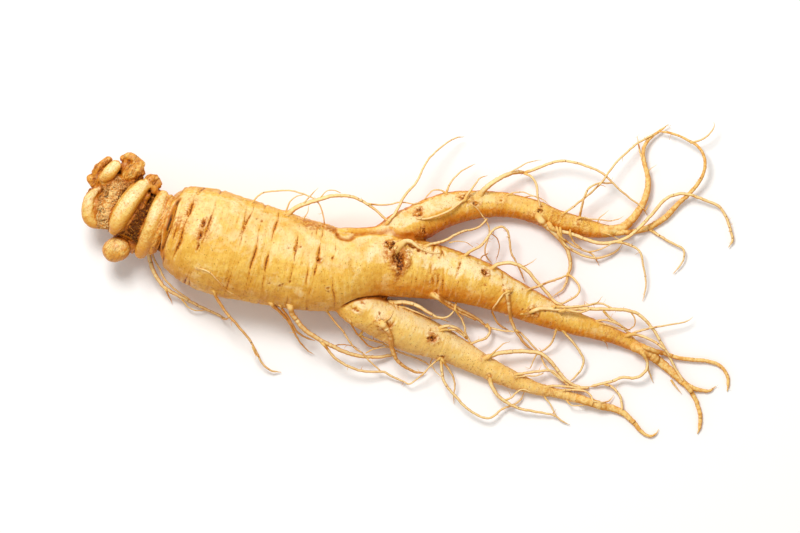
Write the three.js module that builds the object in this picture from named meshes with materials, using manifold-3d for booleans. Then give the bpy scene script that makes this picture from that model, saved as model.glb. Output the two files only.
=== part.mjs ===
// A fresh ginseng root lying on its side: a knobbly head, a ringed trunk, three legs and the stouter
// rootlets, all grown as one solid. Millimetres, +Z up. The origin is on the surface that the root
// lies on, under the middle of its outline. +X runs from the head to the tips.
import * as THREE from 'three';
import { mergeVertices } from 'three/addons/utils/BufferGeometryUtils.js';
import Module from 'manifold-3d';

const wasm = await Module();
wasm.setup();

const trunkRadius = 15.1;
const upperLegRadius = 5.6;
const lowerLegRadius = 6;
const neckRadius = 7.5;
const surfaceTrim = 40; // depth of the block that flattens whatever would sink into the surface
const surfaceWidth = 400;

// Facets round each kind of limb, and the length of one facet along it.
const trunkFacets = { sides: 20, step: 5.5, capHeights: [0.5, 0.86] };
const legFacets = { sides: 10, step: 5, capHeights: [0.5, 0.86] };
const foldFacets = { sides: 8, step: 2.6, capHeights: [0.7] };
const whipFacets = { sides: 6, step: 4.5, capHeights: [] };
const rootletFacets = { sides: 5, step: 5.5, capHeights: [] };
const knobSides = 8;
const knobRings = 6;

// A limb is a row of stations [x, y, z, share of its thickest radius] along its middle line.
const trunkAndMiddleLeg = [
  [-73.5, 16, 14, 0.42],
  [-71, 15, 14.2, 0.72],
  [-66, 13.5, 14.6, 0.92],
  [-57, 11, 14.8, 1],
  [-47, 8.5, 14.6, 0.975],
  [-36, 5.8, 14.2, 0.935],
  [-25, 3.6, 13.8, 0.87],
  [-15.5, 4, 13.4, 0.75],
  [-5, 4.6, 12.7, 0.64],
  [6, 2.8, 11.5, 0.555],
  [18, 0, 9.9, 0.485],
  [30, -4.6, 7.9, 0.375],
  [42.5, -10.3, 5.8, 0.275],
  [57, -15.2, 3.8, 0.19],
  [68, -19.8, 2.4, 0.12],
  [77, -25.8, 1.6, 0.087],
  [84, -31.8, 1.1, 0.06],
  [90, -33.2, 0.8, 0.042],
];

const upperLeg = [
  [-23, 12.3, 20.4, 0.3],
  [-16, 12.6, 18, 0.55],
  [-10, 12.1, 14.8, 0.75],
  [-2.5, 14.7, 11.4, 0.98],
  [4.5, 18.2, 9.1, 1],
  [12, 21.2, 6.9, 0.91],
  [22, 22.7, 4.6, 0.72],
  [33.5, 21.6, 3.6, 0.64],
  [44.5, 17.8, 3.2, 0.58],
  [55.5, 15.1, 2.6, 0.45],
  [63.5, 15.3, 1.9, 0.27],
  [69, 20.7, 2.2, 0.2],
  [71.8, 28.2, 3, 0.16],
  [70.6, 36, 3.2, 0.12],
  [72, 41.9, 2.6, 0.1],
  [78, 46.6, 1.8, 0.09],
];

const lowerLeg = [
  [-21.5, -5, 13.4, 0.55],
  [-15.5, -7.7, 14, 0.93],
  [-9, -11.1, 12, 0.97],
  [-2, -14.6, 8.9, 1],
  [3.5, -16.7, 7, 0.98],
  [9, -18.9, 5.3, 0.865],
  [21, -24.9, 3.5, 0.6],
  [33, -30.6, 2.35, 0.41],
  [45.5, -34.2, 1.7, 0.25],
  [57.5, -37.5, 1.4, 0.21],
  [65, -40.4, 1.1, 0.15],
  [69.8, -45.2, 0.9, 0.1],
  [75, -46.8, 0.8, 0.09],
];

// Side shoots that leave the three legs near their ends, as [x, y, z] with a base and a tip radius.
const whips = [
  {
    base: 1.3,
    tip: 0.5,
    route: [
      [58, 14.4, 1.9],
      [68, 14.6, 1.3],
      [75.6, 17.6, 1.3],
      [81, 23, 2.2],
      [86.7, 28.7, 4.4],
      [89, 35, 5.6],
      [86, 40.8, 4.8],
      [78, 44.3, 3.2],
    ],
  },
  {
    base: 0.6,
    tip: 0.45,
    route: [[84.6, 41.4, 4.8], [89, 42.6, 5.2], [91.2, 46.9, 5.6]],
  },
  {
    base: 0.8,
    tip: 0.5,
    route: [[82, -30.2, 1.2], [86.4, -36.3, 0.9], [87.6, -43, 0.8], [86.8, -46, 0.8]],
  },
  {
    base: 0.8,
    tip: 0.5,
    route: [
      [69, -19.6, 2.2],
      [77, -22.2, 1.8],
      [86, -24, 1.4],
      [93, -25.6, 1],
      [95.9, -30, 0.8],
      [95.7, -33, 0.8],
    ],
  },
];

// The stouter rootlets, by the limb that each one leaves.
const rootlets = [
  // trunk, upper side
  { base: 0.9, tip: 0.5, route: [[-36, 19.8, 15], [-26.5, 23.6, 17], [-15.5, 24.5, 15], [-6, 17.5, 9]] },
  // upper leg, outer side
  {
    base: 0.7,
    tip: 0.5,
    route: [[-6.5, 16.8, 9], [-1.2, 25, 11], [4.8, 34, 9.5], [12, 41.2, 6.5], [17, 42.8, 4.5]],
  },
  { base: 0.9, tip: 0.6, route: [[21.5, 25.8, 6], [26.7, 30.6, 7.6], [35.7, 32.2, 6.6]] },
  {
    base: 0.6,
    tip: 0.5,
    route: [[35, 32, 6.6], [45, 35.4, 7], [55, 33.5, 6], [64, 26.6, 3.6], [71.7, 19.5, 1.8]],
  },
  { base: 0.6, tip: 0.5, route: [[51.3, 18.3, 4.8], [52.5, 24.3, 7.6], [57.6, 29, 6.6], [61, 29.2, 5]] },
  {
    base: 0.55,
    tip: 0.5,
    route: [[46.2, 19.8, 5], [55.2, 26.6, 8], [61, 33.6, 6.4], [68.7, 41, 4.4], [74, 43.8, 3]],
  },
  // upper leg, inner side
  {
    base: 1.2,
    tip: 0.6,
    route: [[39, 19, 5.2], [43, 15, 4.2], [46.5, 11, 2.4], [48.6, 5.7, 1.4], [47.5, 1, 1]],
  },
  {
    base: 0.7,
    tip: 0.5,
    route: [
      [42.6, 15.3, 3],
      [50, 13.4, 3],
      [58, 11, 2.4],
      [64.5, 12.2, 2.4],
      [70, 16.5, 3],
      [78.9, 25.1, 2.4],
      [85, 25.4, 1.8],
      [91.2, 23.1, 1.4],
      [96, 17.5, 1],
      [97.1, 12, 0.8],
    ],
  },
  { base: 0.6, tip: 0.5, route: [[62.4, 11.6, 1.8], [68.2, 9.4, 1.6], [70.5, 3, 1.2], [71.2, -6, 0.8]] },
  { base: 0.6, tip: 0.5, route: [[72.3, 15.4, 1.6], [80, 11, 1.2], [82.8, 7, 1], [79.8, 2, 0.8]] },
  // fork between the upper and the middle leg
  { base: 0.65, tip: 0.5, route: [[4.8, 10, 17], [14, 13.4, 13.5], [22, 16, 8], [24.5, 19, 5]] },
  {
    base: 0.65,
    tip: 0.5,
    route: [[16.5, 7.2, 14], [24, 12.3, 10], [29.5, 14.6, 6.5], [31, 7, 5], [35, -0.6, 3.2]],
  },
  // middle leg
  {
    base: 0.8,
    tip: 0.6,
    route: [[24.6, 3.6, 10.8], [31, 5, 9.4], [36, 2, 8.2], [41, -4, 7], [46.5, -7.8, 5.8]],
  },
  {
    base: 0.8,
    tip: 0.5,
    route: [
      [36.5, -9.5, 9],
      [43.8, -8.7, 8.6],
      [55, -8.6, 6.8],
      [66.5, -9.2, 5],
      [72, -13, 4],
      [77, -21, 2.6],
      [81, -28.5, 1.6],
    ],
  },
  { base: 0.6, tip: 0.5, route: [[70.5, -22.2, 1.6], [70.6, -28, 1.2], [62, -30, 1.2], [54, -32.2, 1]] },
  {
    base: 0.6,
    tip: 0.5,
    route: [[46, -15.3, 4.2], [51.2, -21, 2.2], [52.3, -25.5, 1.4], [48.5, -30.5, 1]],
  },
  {
    base: 0.9,
    tip: 0.5,
    route: [[29.4, -3.6, 10.2], [30.4, -9.5, 6.4], [32.6, -15.6, 3], [37.8, -21.2, 1.2]],
  },
  // crotch between the middle and the lower leg
  { base: 1, tip: 0.55, route: [[6.6, -3.6, 11.8], [12, -6.9, 8.4], [18.5, -10.2, 4.6], [24, -14.1, 2]] },
  {
    base: 0.9,
    tip: 0.5,
    route: [[-8.5, -3, 11], [-3, -6.6, 10.6], [3.5, -8, 9.6], [9, -11, 8], [14, -9.2, 5.4]],
  },
  // lower leg
  {
    base: 1.2,
    tip: 0.5,
    route: [[-8.4, -12.8, 17.2], [-5, -18.2, 14], [-4.2, -22.4, 7.6], [0, -26.6, 2.4], [5.5, -27.8, 1]],
  },
  {
    base: 0.9,
    tip: 0.6,
    route: [
      [22.5, -23.4, 6],
      [30, -21.5, 5],
      [40, -22.3, 3],
      [46, -28.6, 1.8],
      [51, -32, 1.4],
      [55, -32.4, 1.1],
    ],
  },
  { base: 0.55, tip: 0.5, route: [[58.8, -31.2, 1.2], [62.7, -33.4, 1.4], [64, -39.4, 1.2]] },
  {
    base: 0.6,
    tip: 0.5,
    route: [
      [9.9, -23.7, 4],
      [10.8, -30.3, 1.6],
      [17, -37.8, 1],
      [24.5, -41.3, 0.9],
      [30.5, -38, 0.9],
      [34.5, -34, 0.9],
    ],
  },
  {
    base: 0.8,
    tip: 0.5,
    route: [[24.3, -29.7, 2.6], [28.2, -35.8, 1.3], [37, -39.2, 1], [46, -41.8, 0.9]],
  },
  // trunk, under side
  {
    base: 0.9,
    tip: 0.5,
    route: [
      [-77.5, 10.5, 11.5],
      [-76.5, 4.5, 8],
      [-73.5, -1.2, 4.5],
      [-66, -6, 2],
      [-57, -10.4, 1],
      [-54.3, -11.8, 0.8],
    ],
  },
  {
    base: 0.65,
    tip: 0.5,
    route: [
      [-58.5, 1, 9.5],
      [-55.5, -6.5, 5.5],
      [-52.5, -11.4, 3],
      [-46, -19.8, 1],
      [-41, -27, 0.9],
      [-38.1, -27.6, 0.9],
    ],
  },
  {
    base: 1,
    tip: 0.6,
    route: [
      [-35.7, -7.8, 9],
      [-31.5, -14.2, 4],
      [-23, -19.6, 1.6],
      [-13, -22.9, 1],
      [-3.5, -22.2, 0.9],
    ],
  },
  {
    base: 0.6,
    tip: 0.5,
    route: [
      [-26, -18.3, 2],
      [-21, -23.6, 1.1],
      [-13.2, -27.3, 0.9],
      [-5, -28.6, 0.9],
      [0, -31, 0.9],
    ],
  },
];

// The head: old stem scars and swollen buds crowded on a short neck. A fold is a thick rim of
// tissue that bends round the neck, and a knob is a rounded bud.
const neck = [
  [-92, 22.3, 13.5, 0.66],
  [-86, 20, 13.8, 0.9],
  [-79, 17.6, 14, 1],
  [-70, 15.2, 14.2, 1.1],
];

const folds = [
  { radius: 2.7, route: [[-86.9, 15.8, 17.6], [-84.6, 20.6, 20.2], [-81, 25.6, 20.2], [-77.6, 28.8, 17.6]] },
  { radius: 2.8, route: [[-78.6, 7.8, 15.5], [-76.6, 13, 20.8], [-74.8, 18.4, 22.2], [-72.6, 24.8, 18.4]] },
  { radius: 1.7, route: [[-74.6, 10.2, 20.4], [-72.6, 15.6, 23.4], [-71, 20.4, 23], [-69.6, 24.6, 19.6]] },
  { radius: 2.6, route: [[-78.8, 7.6, 12.8], [-77, 11.6, 7.2], [-75, 18, 5.2], [-73.2, 24, 9.4]] },
  { radius: 2.3, route: [[-87, 15, 10.2], [-84.8, 19.6, 7], [-81.6, 25.4, 8.6]] },
];

const knobs = [
  { at: [-94.1, 23.3, 15.4], size: [3.5, 3.7, 4.2] },
  { at: [-93.6, 17.4, 13.6], size: [3.4, 3.6, 4] },
  { at: [-87.4, 9.1, 13.4], size: [4.3, 4, 4.6] },
  { at: [-83.4, 12.2, 10], size: [4.2, 4, 4.4] },
  { at: [-75.4, 29.3, 15.8], size: [2.2, 2.2, 2.8] },
  { at: [-89, 32.6, 18], size: [3, 2.4, 2.8] },
  { at: [-93.4, 30.2, 15.6], size: [2.3, 2.2, 2.6] },
  { at: [-91.6, 34.2, 16.6], size: [1.8, 1.6, 2] },
  { at: [-82.8, 32.2, 16.8], size: [3.4, 3.3, 3.4] },
  { at: [-83, 36.4, 17], size: [2.2, 1.8, 2.2] },
  { at: [-79.8, 35, 16.2], size: [1.8, 1.7, 2] },
  { at: [-88, 28.2, 14.6], size: [4.4, 4.2, 4.6] },
  { at: [-88.6, 25.4, 8.6], size: [3.6, 3.6, 3.4] },
];

// Turns a closed geometry into a solid that can be joined and cut.
function toSolid(geometry) {
  geometry.deleteAttribute('normal');
  geometry.deleteAttribute('uv');
  const merged = mergeVertices(geometry, 1e-4);
  const mesh = new wasm.Mesh({
    numProp: 3,
    vertProperties: Float32Array.from(merged.attributes.position.array),
    triVerts: Uint32Array.from(merged.index.array),
  });
  return new wasm.Manifold(mesh);
}

function smoothShare(shares, along) {
  const place = along * (shares.length - 1);
  const before = Math.min(Math.floor(place), shares.length - 2);
  const part = THREE.MathUtils.smoothstep(place - before, 0, 1);
  return THREE.MathUtils.lerp(shares[before], shares[before + 1], (part + place - before) / 2);
}

// Bends a closed lathe of unit radius along a curve, ring by ring, each ring at the radius that
// the limb has there, with a round cap at both ends.
function bentLimb(stations, radii, { sides, step, capHeights }) {
  const points = stations.map(([x, y, z]) => new THREE.Vector3(x, y, z));
  const path = new THREE.CatmullRomCurve3(points, false, 'centripetal');
  const rings = Math.max(2, Math.round(path.getLength() / step));
  const frames = path.computeFrenetFrames(rings, false);

  const capPoints = capHeights.map((height) => new THREE.Vector2(Math.sqrt(1 - height * height), height));
  const profile = [new THREE.Vector2(0, -1)];
  for (const point of [...capPoints].reverse()) {
    profile.push(new THREE.Vector2(point.x, -point.y));
  }
  for (let ring = 0; ring <= rings; ring += 1) {
    profile.push(new THREE.Vector2(1, ring));
  }
  for (const point of capPoints) {
    profile.push(new THREE.Vector2(point.x, rings + point.y));
  }
  profile.push(new THREE.Vector2(0, rings + 1));

  const lathe = new THREE.LatheGeometry(profile, sides);
  const position = lathe.attributes.position;
  const spot = new THREE.Vector3();
  for (let index = 0; index < position.count; index += 1) {
    const height = position.getY(index);
    const ring = THREE.MathUtils.clamp(Math.round(height), 0, rings);
    const overhang = Math.min(height, 0) + Math.max(height - rings, 0);
    const along = path.getUtoTmapping(ring / rings);
    const radius = smoothShare(radii, along);
    path.getPoint(along, spot);
    spot.addScaledVector(frames.tangents[ring], overhang * radius);
    spot.addScaledVector(frames.normals[ring], position.getX(index) * radius);
    spot.addScaledVector(frames.binormals[ring], -position.getZ(index) * radius);
    position.setXYZ(index, spot.x, spot.y, spot.z);
  }
  return toSolid(lathe);
}

function leg(stations, thickest, facets) {
  const radii = stations.map((station) => station[3] * thickest);
  return bentLimb(stations, radii, facets);
}

function shoot({ base, tip, route }, facets) {
  const radii = route.map((point, index) => THREE.MathUtils.lerp(base, tip, index / (route.length - 1)));
  return bentLimb(route, radii, facets);
}

function fold({ radius, route }) {
  const roundEnds = [0.8, 1, 1, 0.85];
  const radii = roundEnds.map((share) => share * radius);
  return bentLimb(route, radii, foldFacets);
}

function knob({ at, size }) {
  const ball = new THREE.SphereGeometry(1, knobSides, knobRings);
  ball.rotateX(Math.PI / 2);
  ball.scale(...size);
  ball.translate(...at);
  return toSolid(ball);
}

function wholeRoot() {
  const limbs = [
    leg(trunkAndMiddleLeg, trunkRadius, trunkFacets),
    leg(upperLeg, upperLegRadius, legFacets),
    leg(lowerLeg, lowerLegRadius, legFacets),
    leg(neck, neckRadius, legFacets),
    ...folds.map(fold),
    ...knobs.map(knob),
    ...whips.map((whip) => shoot(whip, whipFacets)),
    ...rootlets.map((rootlet) => shoot(rootlet, rootletFacets)),
  ];
  const grown = limbs.reduce((whole, limb) => whole.add(limb));
  const surface = new THREE.BoxGeometry(surfaceWidth, surfaceWidth, surfaceTrim);
  surface.translate(0, 0, -surfaceTrim / 2);
  return grown.subtract(toSolid(surface));
}

function toGeometry(solid) {
  const mesh = solid.getMesh();
  const geometry = new THREE.BufferGeometry();
  geometry.setAttribute('position', new THREE.BufferAttribute(mesh.vertProperties, 3));
  geometry.setIndex(new THREE.BufferAttribute(mesh.triVerts, 1));
  geometry.computeVertexNormals();
  return geometry;
}

const skin = new THREE.MeshStandardMaterial({ color: 0xdcab5c, roughness: 0.62, metalness: 0 });
const ginsengRoot = new THREE.Mesh(toGeometry(wholeRoot()), skin);
ginsengRoot.name = 'ginseng_root';

const part = new THREE.Group();
part.add(ginsengRoot);

export default part;
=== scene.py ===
import math
import random

import bpy
import numpy as np
from mathutils import Euler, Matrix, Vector, noise
from mathutils.bvhtree import BVHTree
from mathutils.kdtree import KDTree


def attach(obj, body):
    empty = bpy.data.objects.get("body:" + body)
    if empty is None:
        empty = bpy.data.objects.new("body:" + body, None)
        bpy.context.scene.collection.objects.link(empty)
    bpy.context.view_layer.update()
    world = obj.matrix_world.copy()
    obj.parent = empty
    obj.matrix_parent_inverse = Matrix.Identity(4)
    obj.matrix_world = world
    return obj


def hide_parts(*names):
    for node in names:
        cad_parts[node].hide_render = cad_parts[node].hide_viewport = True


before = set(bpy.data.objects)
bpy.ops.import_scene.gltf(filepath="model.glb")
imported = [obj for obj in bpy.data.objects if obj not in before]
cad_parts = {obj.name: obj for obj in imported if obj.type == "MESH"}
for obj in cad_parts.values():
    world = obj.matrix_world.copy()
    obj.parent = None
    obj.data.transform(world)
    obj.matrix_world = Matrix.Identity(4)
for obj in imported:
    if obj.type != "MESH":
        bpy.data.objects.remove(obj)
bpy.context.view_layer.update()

mm = 0.001  # every length below is in millimetres until a mesh is made
upward = np.array([0.0, 0.0, 1.0])
dice = random.Random(11)
noise.seed_set(11)  # without it, noise.noise_vector takes its seed from the time of day


def smoothCurve(points, step):
    points = np.asarray(points, float)
    padded = np.vstack([2 * points[0] - points[1], points, 2 * points[-1] - points[-2]])
    t = np.linspace(0, 1, 12, endpoint=False)[:, None]
    spans = []
    for a, b, c, d in zip(padded[:-3], padded[1:-2], padded[2:-1], padded[3:]):
        bend = (2 * b) + (c - a) * t + (2 * a - 5 * b + 4 * c - d) * t**2 + (3 * b - a - 3 * c + d) * t**3
        spans.append(0.5 * bend)
    curve = np.vstack(spans + [points[-1:]])
    travel = np.concatenate([[0], np.cumsum(np.linalg.norm(np.diff(curve[:, :3], axis=0), axis=1))])
    count = max(3, int(travel[-1] / step) + 1)
    even = np.linspace(0, travel[-1], count)
    return np.column_stack([np.interp(even, travel, column) for column in curve.T]), even


def curveFrames(centres, above=upward):
    ahead = np.gradient(centres, axis=0)
    ahead /= np.linalg.norm(ahead, axis=1)[:, None] + 1e-9
    side = np.cross(above, ahead)
    side /= np.linalg.norm(side, axis=1)[:, None] + 1e-9
    return ahead, side, np.cross(ahead, side)


def tube(centres, radii, sides, above=upward):  # radii is one value a ring, or one a ring and side
    ahead, side, above = curveFrames(centres, above)
    angle = np.linspace(0, 2 * math.pi, sides, endpoint=False)
    radii = np.asarray(radii, float)
    if radii.ndim == 1:
        radii = radii[:, None] * np.ones(sides)
    ring = above[:, None, :] * np.cos(angle)[None, :, None] + side[:, None, :] * np.sin(angle)[None, :, None]
    corners = centres[:, None, :] + ring * radii[:, :, None]
    count = len(centres)
    starts = centres[0] - ahead[0] * radii[0].mean() * 0.6
    ends = centres[-1] + ahead[-1] * radii[-1].mean() * 0.6
    verts = np.vstack([corners.reshape(-1, 3), starts, ends])
    faces = []
    for row in range(count - 1):
        here, onward = row * sides, (row + 1) * sides
        for turn in range(sides):
            after = (turn + 1) % sides
            faces.append((here + turn, here + after, onward + after, onward + turn))
    first, last = count * sides, count * sides + 1
    for turn in range(sides):
        after = (turn + 1) % sides
        faces.append((first, after, turn))
        faces.append((last, (count - 1) * sides + turn, (count - 1) * sides + after))
    return verts, faces


def joined(parts):
    verts, faces, start = [], [], 0
    for points, polygons in parts:
        verts.append(points)
        faces.extend(tuple(corner + start for corner in polygon) for polygon in polygons)
        start += len(points)
    return np.vstack(verts), faces


def fused(parts, voxel):  # one skin over overlapping tubes
    verts, faces = joined(parts)
    mesh = bpy.data.meshes.new("fusing")
    mesh.from_pydata(verts.tolist(), [], faces)
    body = bpy.data.objects.new("fusing", mesh)
    bpy.context.collection.objects.link(body)
    remesh = body.modifiers.new("oneSkin", "REMESH")
    remesh.mode = "VOXEL"
    remesh.voxel_size = voxel
    remesh.adaptivity = 0
    skinned = bpy.data.meshes.new_from_object(body.evaluated_get(bpy.context.evaluated_depsgraph_get()))
    points = np.empty(len(skinned.vertices) * 3)
    skinned.vertices.foreach_get("co", points)
    edges = np.empty(len(skinned.edges) * 2, dtype=int)
    skinned.edges.foreach_get("vertices", edges)
    polygons = [tuple(polygon.vertices) for polygon in skinned.polygons]
    bpy.data.objects.remove(body)
    bpy.data.meshes.remove(mesh)
    bpy.data.meshes.remove(skinned)
    return points.reshape(-1, 3), edges.reshape(-1, 2), polygons


def relaxed(points, edges, rounds, amount=0.5, weight=None):
    first, second = edges[:, 0], edges[:, 1]
    count = len(points)
    neighbours = np.bincount(first, minlength=count) + np.bincount(second, minlength=count)
    pull = amount if weight is None else (amount * weight)[:, None]
    for _ in range(rounds):
        total = np.column_stack([
            np.bincount(first, points[second, k], count) + np.bincount(second, points[first, k], count)
            for k in range(3)
        ])
        points = points + (total / neighbours[:, None] - points) * pull
    return points


def evened(numbers, edges, rounds):  # spreads one number a point over its neighbours
    return relaxed(np.column_stack([numbers] * 3), edges, rounds)[:, 0]


def fairSkin(points, edges, rounds):  # smooths the voxel steps away and keeps the volume
    for _ in range(rounds):
        points = relaxed(points, edges, 1, 0.55)
        points = relaxed(points, edges, 1, -0.57)
    return points


def vertexNormals(points, faces):
    triangles = []
    for face in faces:
        triangles.append((face[0], face[1], face[2]))
        if len(face) == 4:
            triangles.append((face[0], face[2], face[3]))
    triangles = np.asarray(triangles)
    a, b, c = points[triangles[:, 0]], points[triangles[:, 1]], points[triangles[:, 2]]
    flat = np.cross(b - a, c - a)
    normals = np.zeros_like(points)
    for k in range(3):
        for corner in range(3):
            normals[:, k] += np.bincount(triangles[:, corner], flat[:, k], len(points))
    return normals / (np.linalg.norm(normals, axis=1)[:, None] + 1e-9)


def hollows(points, edges, normals, rounds):  # above nought in grooves and pits, below it on ridges
    return np.sum((relaxed(points, edges, rounds) - points) * normals, axis=1)


def smoothStep(low, high, value):
    t = np.clip((value - low) / (high - low + 1e-12), 0, 1)
    return t * t * (3 - 2 * t)


def roughness(points, size, seed, octaves=3):
    shift = Vector((seed * 7.3, seed * 3.1, seed * 5.7))
    return np.array([noise.fractal(Vector(p) / size + shift, 0.9, 2.0, octaves) for p in points])


def makePiece(name, points, faces, material, values):
    mesh = bpy.data.meshes.new(name)
    mesh.from_pydata((points * mm).tolist(), [], faces)
    mesh.polygons.foreach_set("use_smooth", [True] * len(mesh.polygons))
    for key, data in values.items():
        data = np.asarray(data, float)
        kind = "FLOAT_VECTOR" if data.ndim == 2 else "FLOAT"
        layer = mesh.attributes.new(key, kind, "POINT")
        layer.data.foreach_set("vector" if data.ndim == 2 else "value", data.ravel())
    mesh.materials.append(material)
    mesh.update()
    piece = bpy.data.objects.new(name, mesh)
    bpy.context.collection.objects.link(piece)
    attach(piece, "root")
    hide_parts("ginseng_root")
    print(name, len(mesh.vertices), "points", len(mesh.polygons), "faces")


# The trunk runs on into the middle leg. Each station is x, y, z and radius.
limbStations = {
    "trunk": [
        (-72, 15.7, 14, 5.2), (-71.4, 15.6, 14.05, 8.8), (-70.6, 15.45, 14.2, 11),
        (-69.3, 15.15, 14.35, 12.5), (-67.3, 14.7, 14.5, 13.6), (-64.4, 13.9, 14.7, 14.45),
        (-61, 12.8, 14.8, 15.05), (-56.2, 11.1, 14.9, 15.3), (-50.4, 9.3, 14.7, 15.05),
        (-43.8, 7.6, 14.4, 14.5), (-37.2, 6, 14.2, 14.15), (-30.6, 4.5, 14, 13.7),
        (-25.2, 3.6, 13.8, 13.1), (-20.4, 3.4, 13.6, 12.4), (-15.6, 4.1, 13.4, 11.25),
        (-10.2, 4.9, 13.1, 10.2), (-4.2, 4.5, 12.7, 9.6), (2.4, 3.5, 12, 8.8), (9.6, 2, 11.1, 8),
        (16.8, 0.3, 10.1, 7.4), (24, -2, 9, 6.6), (30, -4.7, 7.9, 5.65), (36, -7.5, 6.8, 4.8),
        (42.6, -10.4, 5.8, 4.15), (49.8, -12.9, 4.8, 3.5), (57, -15.2, 3.8, 2.85),
        (63.6, -17.6, 2.9, 2.2), (68.4, -20, 2.3, 1.7), (72, -22.2, 1.9, 1.1), (74.4, -24, 1.7, 0.4),
    ],
    "upperLeg": [
        (-22.6, 14.2, 17.4, 1.1), (-20, 13.8, 16.8, 1.9), (-16.5, 13.2, 15.8, 2.55),
        (-13, 12.7, 14.9, 3.15), (-9.9, 12.4, 13.9, 3.7), (-6.3, 13, 12.7, 4.65), (-2.4, 14.8, 11.4, 5.4),
        (2.4, 17.1, 9.8, 5.6), (7.2, 19.4, 8.3, 5.4), (12, 21.2, 6.9, 5.1), (16.8, 22.2, 5.8, 4.6),
        (22.2, 22.7, 4.6, 4), (28.2, 22.6, 3.9, 3.7), (33.6, 21.6, 3.7, 3.55), (39, 20, 3.6, 3.5),
        (44.4, 17.9, 3.3, 3.25), (50.1, 16.4, 3, 3), (55.5, 15.2, 2.6, 2.5), (60, 14.6, 2.1, 1.9),
        (63.6, 15.3, 1.9, 1.2), (65.5, 16.5, 1.9, 0.4),
    ],
    "lowerLeg": [
        (-21.6, -5.2, 13.2, 3.3), (-18.6, -6.3, 14, 4.6), (-15, -8, 14.1, 5.5), (-11.3, -9.9, 12.9, 5.8),
        (-7.2, -12, 11.1, 5.95), (-2.1, -14.4, 8.9, 6.2), (3.3, -16.5, 7, 5.95), (9, -18.7, 5.6, 5.25),
        (15, -21.6, 4.4, 4.3), (21, -24.9, 3.6, 3.6), (27, -28.1, 3.1, 3.1), (33, -30.6, 2.5, 2.45),
        (39, -32.6, 2, 1.85), (45.6, -34.2, 1.7, 1.5), (51.6, -35.7, 1.6, 1.35), (56, -37, 1.5, 0.9),
        (58.5, -37.8, 1.5, 0.35),
    ],
}


def nearestFinder(places):
    finder = KDTree(len(places))
    for index, place in enumerate(places):
        finder.insert(place, index)
    finder.balance()
    return finder


limbs = {}
for name, stations in limbStations.items():
    curve, travel = smoothCurve(stations, 0.5)
    limb = {"centres": curve[:, :3], "radii": curve[:, 3], "travel": travel}
    limb["tree"] = nearestFinder(limb["centres"])
    limb["ahead"], limb["side"], limb["above"] = curveFrames(limb["centres"])
    limbs[name] = limb
print("limbs laid out:", ", ".join(limbs))


def limbPlaces(points, limb):  # how far along, at what angle round, and how far outside the limb
    near = np.array([limb["tree"].find(point)[1] for point in points])
    offset = points - limb["centres"][near]
    along = limb["travel"][near] + np.sum(offset * limb["ahead"][near], axis=1)
    rise = np.sum(offset * limb["above"][near], axis=1)
    out = np.sum(offset * limb["side"][near], axis=1)
    return along, np.arctan2(out, rise), np.linalg.norm(offset, axis=1) - limb["radii"][near]


def topPlace(limb, x, y):  # the same, for a spot seen from straight above
    near = int(np.argmin(np.hypot(limb["centres"][:, 0] - x, limb["centres"][:, 1] - y)))
    offset = np.array([x, y, 0]) - limb["centres"][near] * [1, 1, 0]
    along = limb["travel"][near] + float(offset @ limb["ahead"][near])
    share = float(offset @ limb["side"][near]) / max(limb["radii"][near], 0.1)
    return along, math.asin(max(-0.98, min(0.98, share)))


# Growth rings run round a limb, from one spot to another as seen from above. Each has a strength, and the
# stretches, as shares of its length, where the skin has torn open along it.
rings = {
    "trunk": [
        ((-67.1, 23.6), (-70.3, 12.4), 0.75, [(0.12, 0.5)]),
        ((-65.5, 24.4), (-69.6, 9), 0.5, [(0.6, 0.8)]),
        ((-68.3, 20), (-71.6, 9.4), 0.65, [(0.3, 0.9)]),
        ((-62.7, 23.5), (-69.2, 5.2), 0.8, [(0.04, 0.25), (0.52, 0.8)]),
        ((-56.4, 23.5), (-62.1, 7.6), 0.75, [(0.3, 0.62)]),
        ((-46, 22.7), (-51, 9.8), 0.55, [(0.34, 0.62)]),
        ((-43.6, 18.1), (-49.7, -4.8), 0.7, [(0.33, 0.57)]),
        ((-40.7, 20.1), (-44.4, 10), 0.25, []),
        ((-41.4, 9), (-43.8, -2.9), 0.7, [(0.12, 0.42)]),
        ((-32.5, 16.9), (-35.6, -1), 0.55, [(0.3, 0.52)]),
        ((-28.4, 16.2), (-29.1, 12.2), 0.4, []),
        ((-25.2, 15.6), (-29.8, -4.8), 0.6, [(0.34, 0.5), (0.6, 0.7)]),
        ((-21.7, 10.8), (-22.9, 6.6), 0.45, [(0.85, 1.0)]),
        ((-53.2, 4.8), (-54.5, -1), 0.35, [(0.7, 0.9)]),
        ((-63, 3.9), (-63.3, -0.3), 0.2, []),
        ((15.9, 7.3), (13.2, 0.4), 0.45, [(0.3, 0.5)]),
        ((6.2, 5.4), (6.4, -3.4), 0.5, [(0.45, 0.7)]),
        ((7.9, 3.6), (7.7, -4.2), 0.5, [(0.2, 0.5)]),
        ((9.6, 4.6), (9.4, -4.6), 0.55, [(0.3, 0.8)]),
        ((-4.9, 4.5), (-4.9, -1.2), 0.3, []),
        ((21.9, 4.4), (21.2, 1.8), 0.25, []),
    ],
    "upperLeg": [((3.4, 21.2), (1.6, 17.2), 0.3, []), ((17.2, 25.2), (15.8, 21), 0.35, [(0.1, 0.4)])],
    "lowerLeg": [((-5.6, -10.4), (-9.4, -15.8), 0.35, [(0.2, 0.5)]), ((7.2, -15.6), (5, -19.4), 0.2, [])],
    "strayCount": {"trunk": 130, "upperLeg": 48, "lowerLeg": 44},
    "depth": 0.4,
    "width": 0.36,
    "lipHeight": 0.3,
    "lipPlace": 1.15,
    "lipWidth": 0.55,
    "wobble": 0.55,
}


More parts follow.
